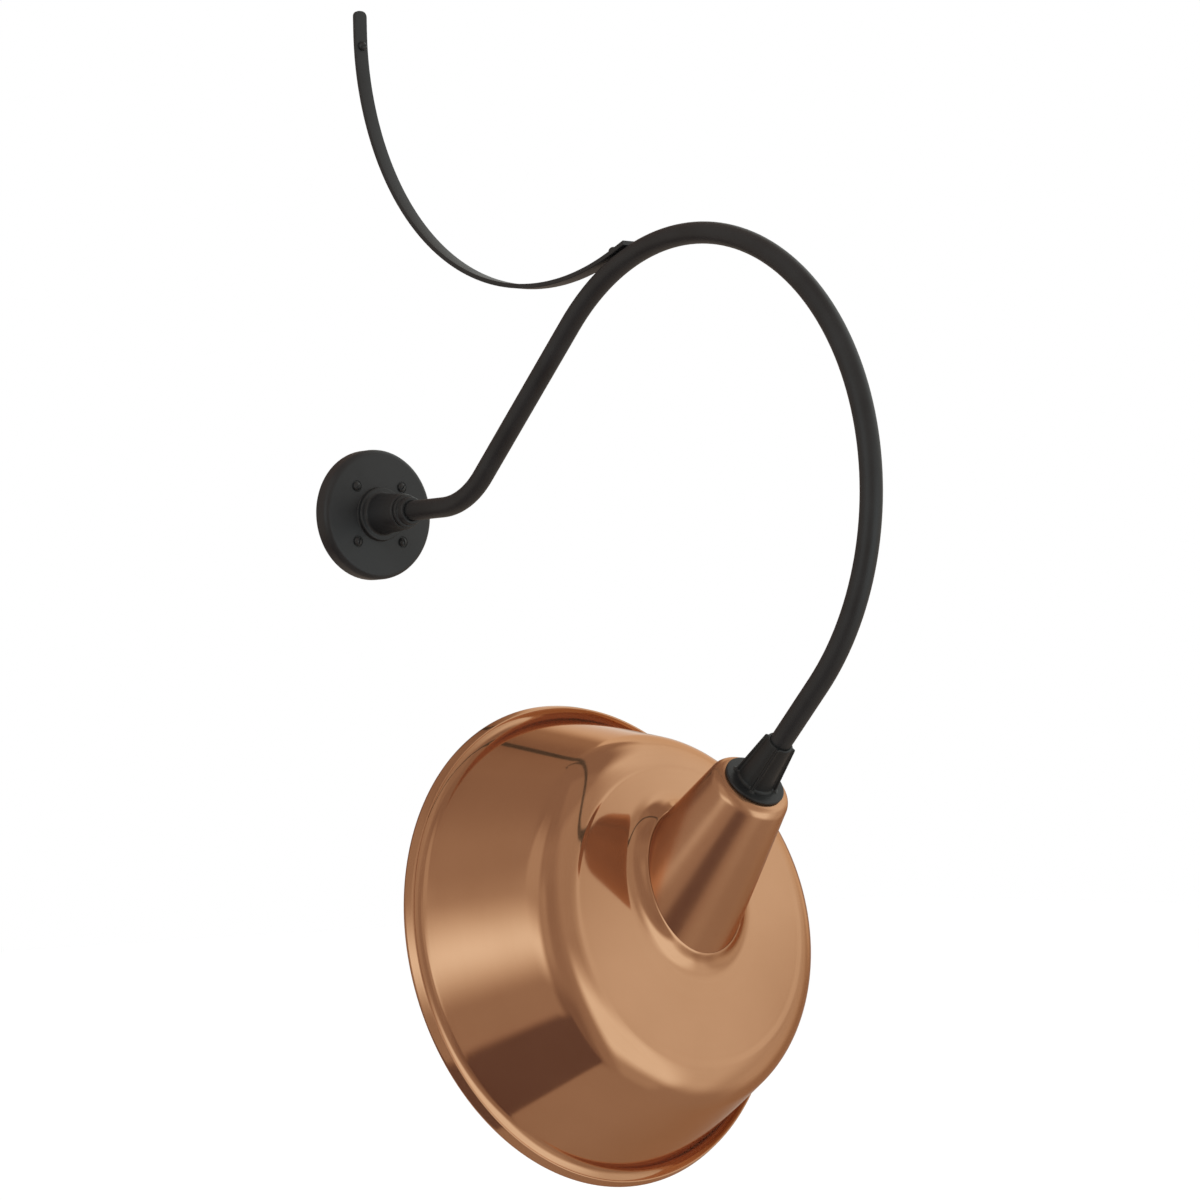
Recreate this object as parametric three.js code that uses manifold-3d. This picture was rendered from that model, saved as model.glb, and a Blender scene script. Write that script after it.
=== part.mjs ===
// Gooseneck wall sconce: a cast plate, a bent pipe arm with a flat strap, and a spun copper shade.
// Millimetres and degrees. The wall is the plane Y = 0, the room lies towards -Y, and +Z is up.
// The origin is the centre of the backplate's back.
import * as THREE from 'three';
import { mergeVertices } from 'three/addons/utils/BufferGeometryUtils.js';
import Module from 'manifold-3d';

const wasm = await Module();
wasm.setup();

// General
const clearance = 0.3;
const overrun = 2;
const sheetThickness = 1.2;
const degree = Math.PI / 180;
const rightAngle = 90;

// Backplate
const plateDiameter = 139.7;
const plateFaceHeight = 19.5;
const plateEdgeRadius = 6.5;
const plateWallThickness = 4.5;
const plateRimWidth = 12;
const gasketWidth = 5.4;
const gasketInsetWidth = 4;
const gasketThickness = 1.7;
const plateScrewSpacing = 59;
const platePillarDiameter = 12;

// Boss on the backplate
const bossRingDiameter = 57.5;
const bossRingHeight = 5.5;
const bossRingEdgeWidth = 1.5;
const bossRootDiameter = 44;
const bossFrontDiameter = 38;
const bossFilletRadius = 3;
const bossHeight = 66;
const bossEdgeWidth = 2;
const bossBackDiameter = 34;
const bossBackRecessDepth = 5;

// Arm
const pipeDiameter = 21.34;
const pipeBoreDiameter = 15.8;
const armSetbackLength = 9;
const armLevelLength = 133.4;
const armFirstBendRadius = 101.6;
const armFirstBendAngle = 43.2;
const armSlopeLength = 206.2;
const armSecondBendRadius = 256;
const armSecondBendAngle = 179.4;

// Arm collar
const collarDiameter = 35;
const collarLength = 5;
const collarNoseDiameter = 29.5;
const collarNoseLength = 8;
const collarEdgeWidth = 1.2;

// Support strap
const strapWidth = 15.9;
const strapThickness = 4.76;
const strapTouchAngle = 20;
const strapLeadInLength = 8;
const strapTailLength = 13;
const strapUpperBendRadius = 288;
const strapUpperAngle = 14;
const strapTopLength = 22;
const strapCornerRadius = 6;
const strapWallScrewSpacing = 16.5;
const strapArmScrewSpacing = 12;

// Shade hub
const hubSetbackLength = 74;
const hubTopDiameter = 26.4;
const hubFootDiameter = 35;
const hubHeight = 50.8;
const hubFilletRadius = 3;
const hubFlangeDiameter = 61;
const hubFlangeThickness = 3;
const hubFlangeEdgeWidth = 0.8;
const hubSocketDepth = 30;
const hubSpigotDiameter = 32;
const hubSpigotLength = 15;
const hubChamberDiameter = 15;
const hubRibCount = 4;
const hubRibWidth = 3;
const hubRibTopRadius = 15.9;
const hubRibFootRadius = 21.8;
const hubScrewDepth = 12;

// Neck. It and the shade are turned a little on the hub, as in the photograph
const neckTopDiameter = 78.5;
const neckTaperShare = 0.166;
const neckShoulderRadius = 12;
const neckSeatDiameter = 56;
const neckSeatAngle = 12;
const neckHeight = 135.7;
const neckLeanAngle = 31.6;
const neckOffsetWidth = 32;
const neckFootLength = 38;
const shadeTurnAngle = 8;

// Shade
const shadeDiameter = 482.6;
const shadeHeight = 153.6;
const crownHeight = 11.5;
const shoulderDiameter = 350.8;
const shoulderRadius = 48;
const footWidth = 17.3;
const footHeight = 18;
const beadDiameter = 12.2;
const beadGrooveAngle = 134;
const beadJoinAngle = 165;
const beadCutAngle = 108;
const beadCoreAngle = 190;
const innerCurlShare = 0.7;
const raisedHeight = 9.4;
const raisedWidth = 24;

// The raised collar's outline as [share of its width, share of its height], and the widths of
// its hollow and of the neck's skirt in it
const raisedShares = [[1, 0], [0.7, 0.07], [0.42, 0.29], [0.2, 0.65], [0.06, 0.97], [0, 1]];
const hollowWidthShare = 0.9;
const skirtWidthShare = 0.86;
const skirtHollowShare = 0.98;

// Lamp holder
const lockNutDiameter = 48;
const lockNutHeight = 6;
const stemDiameter = 12.7;
const stemBoreDiameter = 9.4;
const stemLength = 66;
const capDiameter = 43;
const capLength = 20;
const capWallThickness = 0.9;
const capNeckDiameter = 18;
const capNeckLength = 8;
const holderDiameter = 40;
const holderLength = 42;
const holderFloorThickness = 9;
const holderShellDepth = 28;
const holderShellThickness = 0.5;
const holderContactDiameter = 11;
const holderContactHeight = 1.4;
const terminalSpacing = 23;

// Lamp, a standard 26 mm screw base and a 60 mm globe
const lampBaseDiameter = 26;
const lampThreadLength = 21;
const lampThreadPitch = 3.63;
const lampThreadDepth = 0.9;
const lampSkirtLength = 4;
const lampTipHeight = 5;
const lampContactDiameter = 9;
const lampContactHeight = 1.6;
const lampGlobeDiameter = 60;
const lampGlobeLength = 84;
const lampBaseThickness = 0.8;
const lampGlassThickness = 1;

// Leads
const leadDiameter = 2.8;
const leadSpacing = 4.2;
const groundLeadHeight = 11 / 4;
const groundLeadStepAngle = 12;
const bundledShare = 0.9;
const jointShares = [[1 / 3, 1 / 6], [1 / 2, 2 / 3], [1 / 3, 4 / 3]];

// Screws
const plateScrew = { head: 9.6, height: 3.2, shank: 4.2, slot: 1.3 };
const strapScrew = { head: 9.6, height: 5, shank: 5, slot: 1.4 };
const terminalScrew = { head: 6.4, height: 2, shank: 3.4, slot: 1 };
const setScrewDiameter = 4.8;
const setScrewSocketDiameter = 2.4;
const setScrewSocketDepth = 2;
const terminalDepth = 6;
const edgeHeightShare = 1 / 4;
const shoulderHeightShare = 3 / 4;
const crownWidthShare = 1 / 3;
const pipeWallShare = 0.9;

// How finely the curves are drawn
const shadeSides = 44;
const neckSides = 32;
const plateSides = 36;
const roundSides = 20;
const screwSides = 10;
const armSides = 7;
const leadSides = 3;
const armStepAngle = 5.4;
const strapStepAngle = 3;

// Materials, in the colours of the photograph
function finish(color, roughness, metalness) {
  return new THREE.MeshStandardMaterial({ color, roughness, metalness });
}

const black = finish(0x2f3031, 0.55, 0.2);
const copper = finish(0xb57b52, 0.28, 1);
const porcelain = finish(0xe9e6df, 0.3, 0);
const brass = finish(0xb8964f, 0.35, 1);
const steel = finish(0xb9bbbd, 0.35, 1);
const glass = finish(0xf2efe6, 0.4, 0);
const foam = finish(0x232323, 0.95, 0);
const blackLead = finish(0x1b1b1c, 0.6, 0);
const whiteLead = finish(0xe4e2dc, 0.6, 0);
const greenLead = finish(0x2e6a3c, 0.6, 0);

const root = new THREE.Group();

// A closed mesh with shared vertices becomes a solid that can be joined and cut
function solidOf(geometry, matrix = new THREE.Matrix4()) {
  const bare = geometry.clone().applyMatrix4(matrix);
  bare.deleteAttribute('normal');
  bare.deleteAttribute('uv');
  const merged = mergeVertices(bare);
  const index = merged.index.array;
  const triangles = [];
  for (let i = 0; i < index.length; i += 3) {
    const [a, b, c] = [index[i], index[i + 1], index[i + 2]];
    if (a !== b && b !== c && c !== a) triangles.push(a, b, c);
  }
  return new wasm.Manifold(new wasm.Mesh({
    numProp: 3,
    vertProperties: new Float32Array(merged.attributes.position.array),
    triVerts: new Uint32Array(triangles),
  }));
}

function geometryOf(solid) {
  const mesh = solid.getMesh();
  const geometry = new THREE.BufferGeometry();
  geometry.setAttribute('position', new THREE.BufferAttribute(new Float32Array(mesh.vertProperties), 3));
  geometry.setIndex(new THREE.BufferAttribute(new Uint32Array(mesh.triVerts), 1));
  geometry.computeVertexNormals();
  return geometry;
}

function piece(name, geometry, material, parent = root) {
  const mesh = new THREE.Mesh(geometry, material.clone());
  mesh.name = name;
  parent.add(mesh);
  return mesh;
}

// An outline of [radius, height] points turned about the local Z axis
function turned(outline, sides) {
  let area = 0;
  outline.forEach(([r, h], i) => {
    const [nextR, nextH] = outline[(i + 1) % outline.length];
    area += r * nextH - nextR * h;
  });
  const ordered = area > 0 ? [...outline] : [...outline].reverse();
  const open = outline[0][0] === 0 && outline.at(-1)[0] === 0;
  if (!open) ordered.push(ordered[0]);
  const geometry = new THREE.LatheGeometry(ordered.map(([r, h]) => new THREE.Vector2(r, h)), sides);
  return geometry.rotateX(Math.PI / 2);
}

// Points of an arc, as [x, y], with both ends
function arc(x, y, radius, from, to, steps) {
  return Array.from({ length: steps + 1 }, (_, i) => {
    const angle = (from + (to - from) * i / steps) * degree;
    return [x + radius * Math.cos(angle), y + radius * Math.sin(angle)];
  });
}

// The fillet in the corner between a level face and a turned one above it
function hollowCorner(x, y, radius) {
  return arc(x + radius, y + radius, radius, rightAngle * 3, rightAngle * 2, 2);
}

function rod(radius, from, to, sides = roundSides) {
  return turned([[0, from], [radius, from], [radius, to], [0, to]], sides);
}

function turnX(angle, position = new THREE.Vector3()) {
  return new THREE.Matrix4().makeRotationX(angle).setPosition(position);
}

// A round-head screw on the local Z axis: the head stands on the plane 0 and the shank goes down
function screwGeometry({ head, height, shank, slot }, length) {
  const r = head / 2;
  const outline = [
    [0, -length], [shank / 2, -length], [shank / 2, 0], [r, 0], [r, height * edgeHeightShare],
    [r * Math.cos(Math.PI / 5), height * shoulderHeightShare], [r * crownWidthShare, height], [0, height],
  ];
  const cut = new THREE.BoxGeometry(head + overrun, slot, height).translate(0, 0, height);
  return geometryOf(solidOf(turned(outline, screwSides)).subtract(solidOf(cut)));
}

// A headless screw from one height to another, with a hexagon socket in its upper end
function setScrewGeometry(from, to) {
  const socket = turned([
    [0, to - setScrewSocketDepth], [setScrewSocketDiameter / 2, to - setScrewSocketDepth],
    [setScrewSocketDiameter / 2, to + overrun], [0, to + overrun],
  ], 6);
  return geometryOf(solidOf(rod(setScrewDiameter / 2, from, to, screwSides)).subtract(solidOf(socket)));
}

// A path in the arm's plane, made of straights and arcs that follow on smoothly. Plane points
// are [reach from the wall, height]. Each straight is one step, and each arc has many short ones
class Route extends THREE.Curve {
  constructor(start, heading, legs, stepAngle = armStepAngle) {
    super();
    this.legs = [];
    this.steps = 0;
    let at = start;
    let facing = heading;
    for (const leg of legs) {
      const steps = leg.turn ? Math.ceil(Math.abs(leg.turn) / stepAngle) : 1;
      const placed = { ...leg, at, facing, steps, first: this.steps };
      this.legs.push(placed);
      this.steps += steps;
      at = this.planePoint(placed, 1);
      facing += leg.turn ?? 0;
    }
    this.end = at;
    this.heading = facing;
  }

  planePoint({ at, facing, length, radius, turn }, share) {
    const from = facing * degree;
    if (length) return [at[0] + length * share * Math.cos(from), at[1] + length * share * Math.sin(from)];
    const to = from + turn * share * degree;
    const swing = Math.sign(turn) * radius;
    return [
      at[0] + swing * (Math.sin(to) - Math.sin(from)),
      at[1] - swing * (Math.cos(to) - Math.cos(from)),
    ];
  }

  getPoint(t, target = new THREE.Vector3()) {
    const place = t * this.steps;
    const leg = this.legs.findLast(({ first }) => first <= place);
    return target.copy(inSpace(this.planePoint(leg, (place - leg.first) / leg.steps)));
  }

  getUtoTmapping(u) {
    return u;
  }
}

// A smooth path whose steps follow its own points, so that they are close together in tight turns
class LeadPath extends THREE.CatmullRomCurve3 {
  getUtoTmapping(u) {
    return u;
  }
}

function inSpace([reach, height]) {
  return new THREE.Vector3(0, -reach, height);
}

function circleShape(radius, bore = 0) {
  const shape = new THREE.Shape().absarc(0, 0, radius, 0, 2 * Math.PI);
  if (bore) shape.holes.push(new THREE.Path().absarc(0, 0, bore, 0, 2 * Math.PI, true));
  return shape;
}

function swept(shape, extrudePath, steps, curveSegments) {
  return new THREE.ExtrudeGeometry(shape, { steps, curveSegments, extrudePath, bevelEnabled: false });
}

// Backplate, in a group whose Z axis points from the wall into the room and whose Y axis is up
const wallSide = new THREE.Group();
wallSide.rotation.x = Math.PI / 2;
root.add(wallSide);

const plateRadius = plateDiameter / 2;
const boreRadius = pipeDiameter / 2 + clearance;
const cavityDepth = plateFaceHeight - plateWallThickness;
const cavityRadius = plateRadius - plateRimWidth;
const gasketOuter = plateRadius - gasketInsetWidth;
const gasketInner = gasketOuter - gasketWidth;
const screwCorners = [[-1, 1], [1, 1], [-1, -1], [1, -1]];
const screwPlaces = screwCorners.map((corner) => corner.map((sign) => sign * plateScrewSpacing / 2));

function backplateGeometry() {
  const ringTop = plateFaceHeight + bossRingHeight;
  const edgeCentre = [plateRadius - plateEdgeRadius, plateFaceHeight - plateEdgeRadius];
  const outline = [
    [cavityRadius, 0],
    [gasketInner - clearance, 0], [gasketInner - clearance, gasketThickness + clearance],
    [gasketOuter + clearance, gasketThickness + clearance], [gasketOuter + clearance, 0],
    [plateRadius, 0],
    ...arc(...edgeCentre, plateEdgeRadius, 0, rightAngle, 3),
    [bossRingDiameter / 2, plateFaceHeight],
    [bossRingDiameter / 2, ringTop - bossRingEdgeWidth],
    [bossRingDiameter / 2 - bossRingEdgeWidth, ringTop],
    ...hollowCorner(bossRootDiameter / 2, ringTop, bossFilletRadius),
    [bossFrontDiameter / 2, bossHeight - bossEdgeWidth],
    [bossFrontDiameter / 2 - bossEdgeWidth, bossHeight],
    [boreRadius, bossHeight],
    [boreRadius, cavityDepth - bossBackRecessDepth],
    [bossBackDiameter / 2, cavityDepth - bossBackRecessDepth],
    [bossBackDiameter / 2, cavityDepth],
    [cavityRadius, cavityDepth],
  ];
  let solid = solidOf(turned(outline, plateSides));
  for (const [x, y] of screwPlaces) {
    const pillar = rod(platePillarDiameter / 2, 0, cavityDepth + plateWallThickness / 2, screwSides);
    const hole = rod(plateScrew.shank / 2 + clearance, -overrun, plateFaceHeight + overrun, screwSides);
    solid = solid.add(solidOf(pillar.translate(x, y, 0))).subtract(solidOf(hole.translate(x, y, 0)));
  }
  const groundHole = rod(terminalScrew.shank / 2 + clearance, 0, cavityDepth + terminalDepth / 2, screwSides);
  return geometryOf(solid.subtract(solidOf(groundHole.translate(...groundPlace, 0))));
}

const groundPlace = [0, -(bossBackDiameter / 2 + terminalSpacing / 2)];
piece('backplate', backplateGeometry(), black, wallSide);
piece('wall_gasket', turned([
  [gasketInner, 0], [gasketOuter, 0], [gasketOuter, gasketThickness], [gasketInner, gasketThickness],
], plateSides), foam, wallSide);
screwPlaces.forEach(([x, y], i) => {
  const screw = piece(`plate_screw_${i + 1}`, screwGeometry(plateScrew, plateFaceHeight), black, wallSide);
  screw.position.set(x, y, plateFaceHeight + clearance);
  screw.rotation.z = (i + 1) * Math.PI / 7;
});

// Arm collar, with its set screw in the top
const collarStart = bossHeight + clearance;
const collarEnd = collarStart + collarLength + collarNoseLength;
const collarScrewAt = collarEnd - collarNoseLength / 2;

function collarGeometry() {
  const [outer, nose, edge] = [collarDiameter / 2, collarNoseDiameter / 2, collarEdgeWidth];
  const step = collarStart + collarLength;
  const outline = [
    [boreRadius, collarStart], [outer - edge, collarStart], [outer, collarStart + edge],
    [outer, step - edge], [outer - edge, step], [nose, step],
    [nose, collarEnd - edge], [nose - edge, collarEnd], [boreRadius, collarEnd],
  ];
  const hole = rod(setScrewDiameter / 2 + clearance, 0, nose + overrun, screwSides)
    .rotateX(-Math.PI / 2).translate(0, 0, collarScrewAt);
  return geometryOf(solidOf(turned(outline, roundSides)).subtract(solidOf(hole)));
}

piece('arm_collar', collarGeometry(), black, wallSide);
const collarScrewEnds = [pipeDiameter / 2 + clearance, collarNoseDiameter / 2 + clearance];
const collarScrew = piece('collar_set_screw', setScrewGeometry(...collarScrewEnds), black, wallSide);
collarScrew.position.z = collarScrewAt;
collarScrew.rotation.x = -Math.PI / 2;

// Gooseneck arm. Its last straight ends in the hub's socket
const armEndStraight = hubSetbackLength + hubSocketDepth - clearance;
const arm = new Route([armSetbackLength, 0], 0, [
  { length: armLevelLength - armSetbackLength },
  { radius: armFirstBendRadius, turn: armFirstBendAngle },
  { length: armSlopeLength },
  { radius: armSecondBendRadius, turn: -armSecondBendAngle },
  { length: armEndStraight },
]);
const armHeading = armFirstBendAngle - armSecondBendAngle;
const bendStart = new Route([armLevelLength, 0], 0, [
  { radius: armFirstBendRadius, turn: armFirstBendAngle }, { length: armSlopeLength },
]).end;
const bendCentre = [
  bendStart[0] + armSecondBendRadius * Math.sin(armFirstBendAngle * degree),
  bendStart[1] - armSecondBendRadius * Math.cos(armFirstBendAngle * degree),
];

// The strap touches the top of the bend where the pipe climbs at strapTouchAngle
const touch = strapTouchAngle * degree;
const touchOffset = pipeDiameter / 2 + clearance + strapThickness / 2;
const besideBend = (along, out) => [
  bendCentre[0] - (armSecondBendRadius + out) * Math.sin(touch) + along * Math.cos(touch),
  bendCentre[1] + (armSecondBendRadius + out) * Math.cos(touch) + along * Math.sin(touch),
];
const strapTurns = [strapUpperAngle, rightAngle + strapTouchAngle - strapUpperAngle];
const strapStation = strapThickness / 2;
const swingStart = besideBend(-strapLeadInLength, touchOffset);
const upperHeading = (strapUpperAngle - rightAngle) * degree;
const upperShift = strapUpperBendRadius * (Math.sin(upperHeading) + 1);
const lowerShiftShare = Math.sin(touch) - Math.sin(upperHeading);
const strapLowerBendRadius = (swingStart[0] - strapStation - upperShift) / lowerShiftShare;
const strapDrop = strapUpperBendRadius * Math.cos(upperHeading)
  + strapLowerBendRadius * (Math.cos(touch) - Math.cos(upperHeading));
const strapBendHeight = swingStart[1] + strapDrop;
const strapTop = strapBendHeight + strapTopLength;
const strapScrewHeight = strapBendHeight - strapWallScrewSpacing;

function strapGeometry() {
  const [width, thick] = [strapWidth / 2, strapThickness / 2];
  const section = new THREE.Shape([
    new THREE.Vector2(-thick, -width), new THREE.Vector2(thick, -width),
    new THREE.Vector2(thick, width), new THREE.Vector2(-thick, width),
  ]);
  const path = new Route([strapStation, strapBendHeight + overrun], -rightAngle, [
    { length: overrun },
    { radius: strapUpperBendRadius, turn: strapTurns[0] },
    { radius: strapLowerBendRadius, turn: strapTurns[1] },
    { length: strapLeadInLength + strapTailLength },
  ], strapStepAngle);
  const corner = strapCornerRadius;
  const tip = new THREE.Shape([
    new THREE.Vector2(-width, strapBendHeight), new THREE.Vector2(width, strapBendHeight),
  ]);
  tip.absarc(width - corner, strapTop - corner, corner, 0, Math.PI / 2);
  tip.absarc(corner - width, strapTop - corner, corner, Math.PI / 2, Math.PI);
  const tipForm = { depth: strapThickness, curveSegments: 5, bevelEnabled: false };
  const tipPlate = new THREE.ExtrudeGeometry(tip, tipForm).rotateX(Math.PI / 2);
  const holeRadius = strapScrew.shank / 2 + clearance;
  const depth = strapThickness + 2 * overrun;
  const wallHole = rod(holeRadius, -overrun, depth, screwSides)
    .rotateX(Math.PI / 2).translate(0, 0, strapScrewHeight);
  return geometryOf(solidOf(swept(section, path, path.steps, 1))
    .add(solidOf(tipPlate))
    .subtract(solidOf(wallHole))
    .subtract(solidOf(rod(holeRadius, -depth, depth, screwSides), strapArmScrewPlace(touchOffset))));
}

// The strap's screw into the arm stands square to the strap's straight end
function strapArmScrewPlace(out) {
  return turnX(-touch, inSpace(besideBend(-strapArmScrewSpacing, out)));
}

function armGeometry() {
  const pipe = swept(circleShape(pipeDiameter / 2, pipeBoreDiameter / 2), arm, arm.steps, armSides);
  const drilled = rod(strapScrew.shank / 2 + clearance, -pipeBoreDiameter / 2, overrun, screwSides);
  return geometryOf(solidOf(pipe).subtract(solidOf(drilled, strapArmScrewPlace(pipeDiameter / 2))));
}

piece('gooseneck_arm', armGeometry(), black);
piece('support_strap', strapGeometry(), black);

const bowAtScrew = strapUpperBendRadius - Math.sqrt(strapUpperBendRadius ** 2 - strapWallScrewSpacing ** 2);
const wallScrewSeat = strapThickness + bowAtScrew + clearance * 2;
const strapWallScrew = piece('strap_wall_screw', screwGeometry(strapScrew, wallScrewSeat), black, wallSide);
strapWallScrew.position.set(0, strapScrewHeight, wallScrewSeat);
strapWallScrew.rotation.z = Math.PI / 8;

const armScrewSeat = touchOffset + strapThickness / 2 + clearance * 2;
const armScrewLength = armScrewSeat - pipeBoreDiameter / 2 * pipeWallShare;
const strapArmScrew = piece('strap_arm_screw', screwGeometry(strapScrew, armScrewLength), black);
strapArmScrew.applyMatrix4(strapArmScrewPlace(armScrewSeat));

// Fixture: the hub and all that hangs on it. Its Z axis runs up the neck to the arm, and its
// origin is in the plane of the flange's underside, where the neck is clamped
const fixture = new THREE.Group();
const fixtureTilt = Math.atan2(-Math.cos(armHeading * degree), -Math.sin(armHeading * degree));
const seatDistance = hubSetbackLength + hubHeight + hubFlangeThickness;
const overlap = armEndStraight - seatDistance;
fixture.position.copy(inSpace([
  arm.end[0] - overlap * Math.cos(armHeading * degree),
  arm.end[1] - overlap * Math.sin(armHeading * degree),
]));
fixture.rotation.x = fixtureTilt;
root.add(fixture);

const hubTop = hubFlangeThickness + hubHeight;
const socketFloor = hubTop - hubSocketDepth;
const stemHoleRadius = stemDiameter / 2 + clearance;
const hubScrewHeight = hubTop - hubScrewDepth;

function hubGeometry() {
  const flange = hubFlangeDiameter / 2;
  const foot = hubFootDiameter / 2;
  const face = hubFlangeThickness;
  const body = turned([
    [stemHoleRadius, -hubSpigotLength], [hubSpigotDiameter / 2, -hubSpigotLength],
    [hubSpigotDiameter / 2, 0], [flange - hubFlangeEdgeWidth, 0], [flange, hubFlangeEdgeWidth],
    [flange, face - hubFlangeEdgeWidth], [flange - hubFlangeEdgeWidth, face],
    ...hollowCorner(foot, face, hubFilletRadius),
    [hubTopDiameter / 2, hubTop], [boreRadius, hubTop], [boreRadius, socketFloor],
    [hubChamberDiameter / 2, socketFloor], [hubChamberDiameter / 2, face], [stemHoleRadius, face],
  ], roundSides);
  const ribShape = new THREE.Shape([
    new THREE.Vector2(boreRadius, face / 2), new THREE.Vector2(hubRibFootRadius, face / 2),
    new THREE.Vector2(hubRibFootRadius, face), new THREE.Vector2(hubRibTopRadius, hubTop),
    new THREE.Vector2(boreRadius, hubTop),
  ]);
  let solid = solidOf(body);
  for (let i = 0; i < hubRibCount; i += 1) {
    const rib = new THREE.ExtrudeGeometry(ribShape, { depth: hubRibWidth, bevelEnabled: false })
      .rotateX(Math.PI / 2).translate(0, hubRibWidth / 2, 0).rotateZ((i + 1 / 2) * 2 * Math.PI / hubRibCount);
    solid = solid.add(solidOf(rib));
  }
  const bore = rod(boreRadius, socketFloor, hubTop + overrun);
  const chamber = rod(hubChamberDiameter / 2, face, hubTop);
  const screwHole = rod(setScrewDiameter / 2 + clearance, 0, hubRibFootRadius, screwSides)
    .rotateY(Math.PI / 2).translate(0, 0, hubScrewHeight);
  return geometryOf(solid.subtract(solidOf(bore)).subtract(solidOf(chamber)).subtract(solidOf(screwHole)));
}

piece('shade_hub', hubGeometry(), black, fixture);
const hubWallShare = hubScrewDepth / hubHeight;
const hubRadiusAtScrew = THREE.MathUtils.lerp(hubTopDiameter, hubFootDiameter, hubWallShare) / 2;
const hubScrewEnds = [pipeDiameter / 2 + clearance, hubRadiusAtScrew];
const hubScrew = piece('hub_set_screw', setScrewGeometry(...hubScrewEnds), black, fixture);
hubScrew.position.z = hubScrewHeight;
hubScrew.rotation.y = Math.PI / 2;

// The neck and the shade turn together about the fixture's axis
const shadeSide = new THREE.Group();
shadeSide.rotation.z = shadeTurnAngle * degree;
fixture.add(shadeSide);

// Shade frame: its Z axis is the shade's, from the rim's plane to the crown. The neck's axis
// crosses the crown's plane at neckOffsetWidth up the Y axis
const lean = neckLeanAngle * degree;
const shadePlace = turnX(lean, new THREE.Vector3(0, neckOffsetWidth, shadeHeight)
  .applyMatrix4(turnX(lean)).negate().add(new THREE.Vector3(0, 0, -neckHeight)));
const shadeGroup = new THREE.Group();
shadeGroup.applyMatrix4(shadePlace);
shadeSide.add(shadeGroup);
const neckInShade = shadePlace.clone().invert();

const shoulderHeight = shadeHeight - crownHeight;
const domeHeight = (r) => shoulderHeight + crownHeight * (1 - (2 * r / shoulderDiameter) ** 2);
const neckRadius = (z) => neckTopDiameter / 2 - neckTaperShare * z;

const beadRadius = beadDiameter / 2;
const beadCentre = [shadeDiameter / 2 - beadRadius, beadRadius];
const footStart = [shadeDiameter / 2 - footWidth, footHeight];
const wallSlope = Math.atan((footStart[0] - shoulderDiameter / 2) / (shoulderHeight - footHeight));

// The foot curls outward from the straight wall to the bead. There the sheet is rolled under,
// out and back over into a hollow bead, whose cut edge stands just off the foot
const groove = arc(...beadCentre, beadRadius, beadGrooveAngle, beadGrooveAngle, 1)[0];
const curlChord = [groove[0] - footStart[0], groove[1] - footStart[1]];
const curlSag = curlChord[0] * Math.cos(wallSlope) + curlChord[1] * Math.sin(wallSlope);
const curlRadius = (curlChord[0] ** 2 + curlChord[1] ** 2) / (2 * curlSag);
const curlCentre = [
  footStart[0] + curlRadius * Math.cos(wallSlope),
  footStart[1] + curlRadius * Math.sin(wallSlope),
];

// The shade's outer outline from the bead to the crown. inset draws the inner face, whose curl
// is shorter, because it meets the bead on its inner side
function shadeOutline(inset, curlShare) {
  const corner = [shoulderDiameter / 2, shoulderHeight];
  const domeEdge = Math.atan(4 * crownHeight / shoulderDiameter);
  const trim = shoulderRadius * Math.tan((Math.PI / 2 - wallSlope - domeEdge) / 2);
  const arcStart = [corner[0] + trim * Math.sin(wallSlope), corner[1] - trim * Math.cos(wallSlope)];
  const arcCentre = [
    arcStart[0] - shoulderRadius * Math.cos(wallSlope),
    arcStart[1] - shoulderRadius * Math.sin(wallSlope),
  ];
  const domeStart = arcCentre[0] + shoulderRadius * Math.sin(domeEdge);
  const wallTurn = wallSlope / degree;
  const grooveTurn = Math.atan2(curlCentre[1] - groove[1], curlCentre[0] - groove[0]) / degree;
  const curlEnd = rightAngle * 2 + THREE.MathUtils.lerp(wallTurn, grooveTurn, curlShare);
  const curl = arc(...curlCentre, curlRadius + inset, curlEnd, rightAngle * 2 + wallTurn, 3);
  const shoulder = arc(...arcCentre, shoulderRadius - inset, wallTurn, rightAngle - domeEdge / degree, 4);
  const dome = [domeStart / 2, domeHeight(domeStart / 2) - inset];
  return [...curl, ...shoulder, dome, [0, shadeHeight - inset]];
}

function shadeGeometry() {
  const cutAngle = rightAngle * 4 + beadCutAngle;
  const outline = [
    ...shadeOutline(sheetThickness, innerCurlShare).reverse(),
    ...arc(...beadCentre, beadRadius, beadJoinAngle, cutAngle, 9),
    ...arc(...beadCentre, beadRadius - sheetThickness, cutAngle, beadCoreAngle, 7),
    ...shadeOutline(0, 1),
  ];
  const shell = solidOf(turned(outline, shadeSides));
  const [low, high] = [-neckHeight * 2, -neckHeight / 2];
  const throughNeck = turned([
    [0, low], [neckRadius(low) + clearance, low], [neckRadius(high) + clearance, high], [0, high],
  ], neckSides);
  return geometryOf(shell.add(raisedSolid(0, 1, sheetThickness * 4 / 5))
    .subtract(raisedSolid(sheetThickness, hollowWidthShare, sheetThickness * 3))
    .subtract(solidOf(throughNeck, neckInShade)));
}

// The curve, in the shade frame, where the neck's outer face crosses a level above the crown
function neckCrossing(angle, level) {
  const crownRadius = neckRadius(-neckHeight);
  const across = Math.sin(angle) * Math.sin(lean);
  const along = (level + crownRadius * across) / (Math.cos(lean) + neckTaperShare * across);
  const radius = crownRadius - neckTaperShare * along;
  return [
    radius * Math.cos(angle),
    neckOffsetWidth + along * Math.sin(lean) + radius * Math.sin(angle) * Math.cos(lean),
  ];
}

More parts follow.
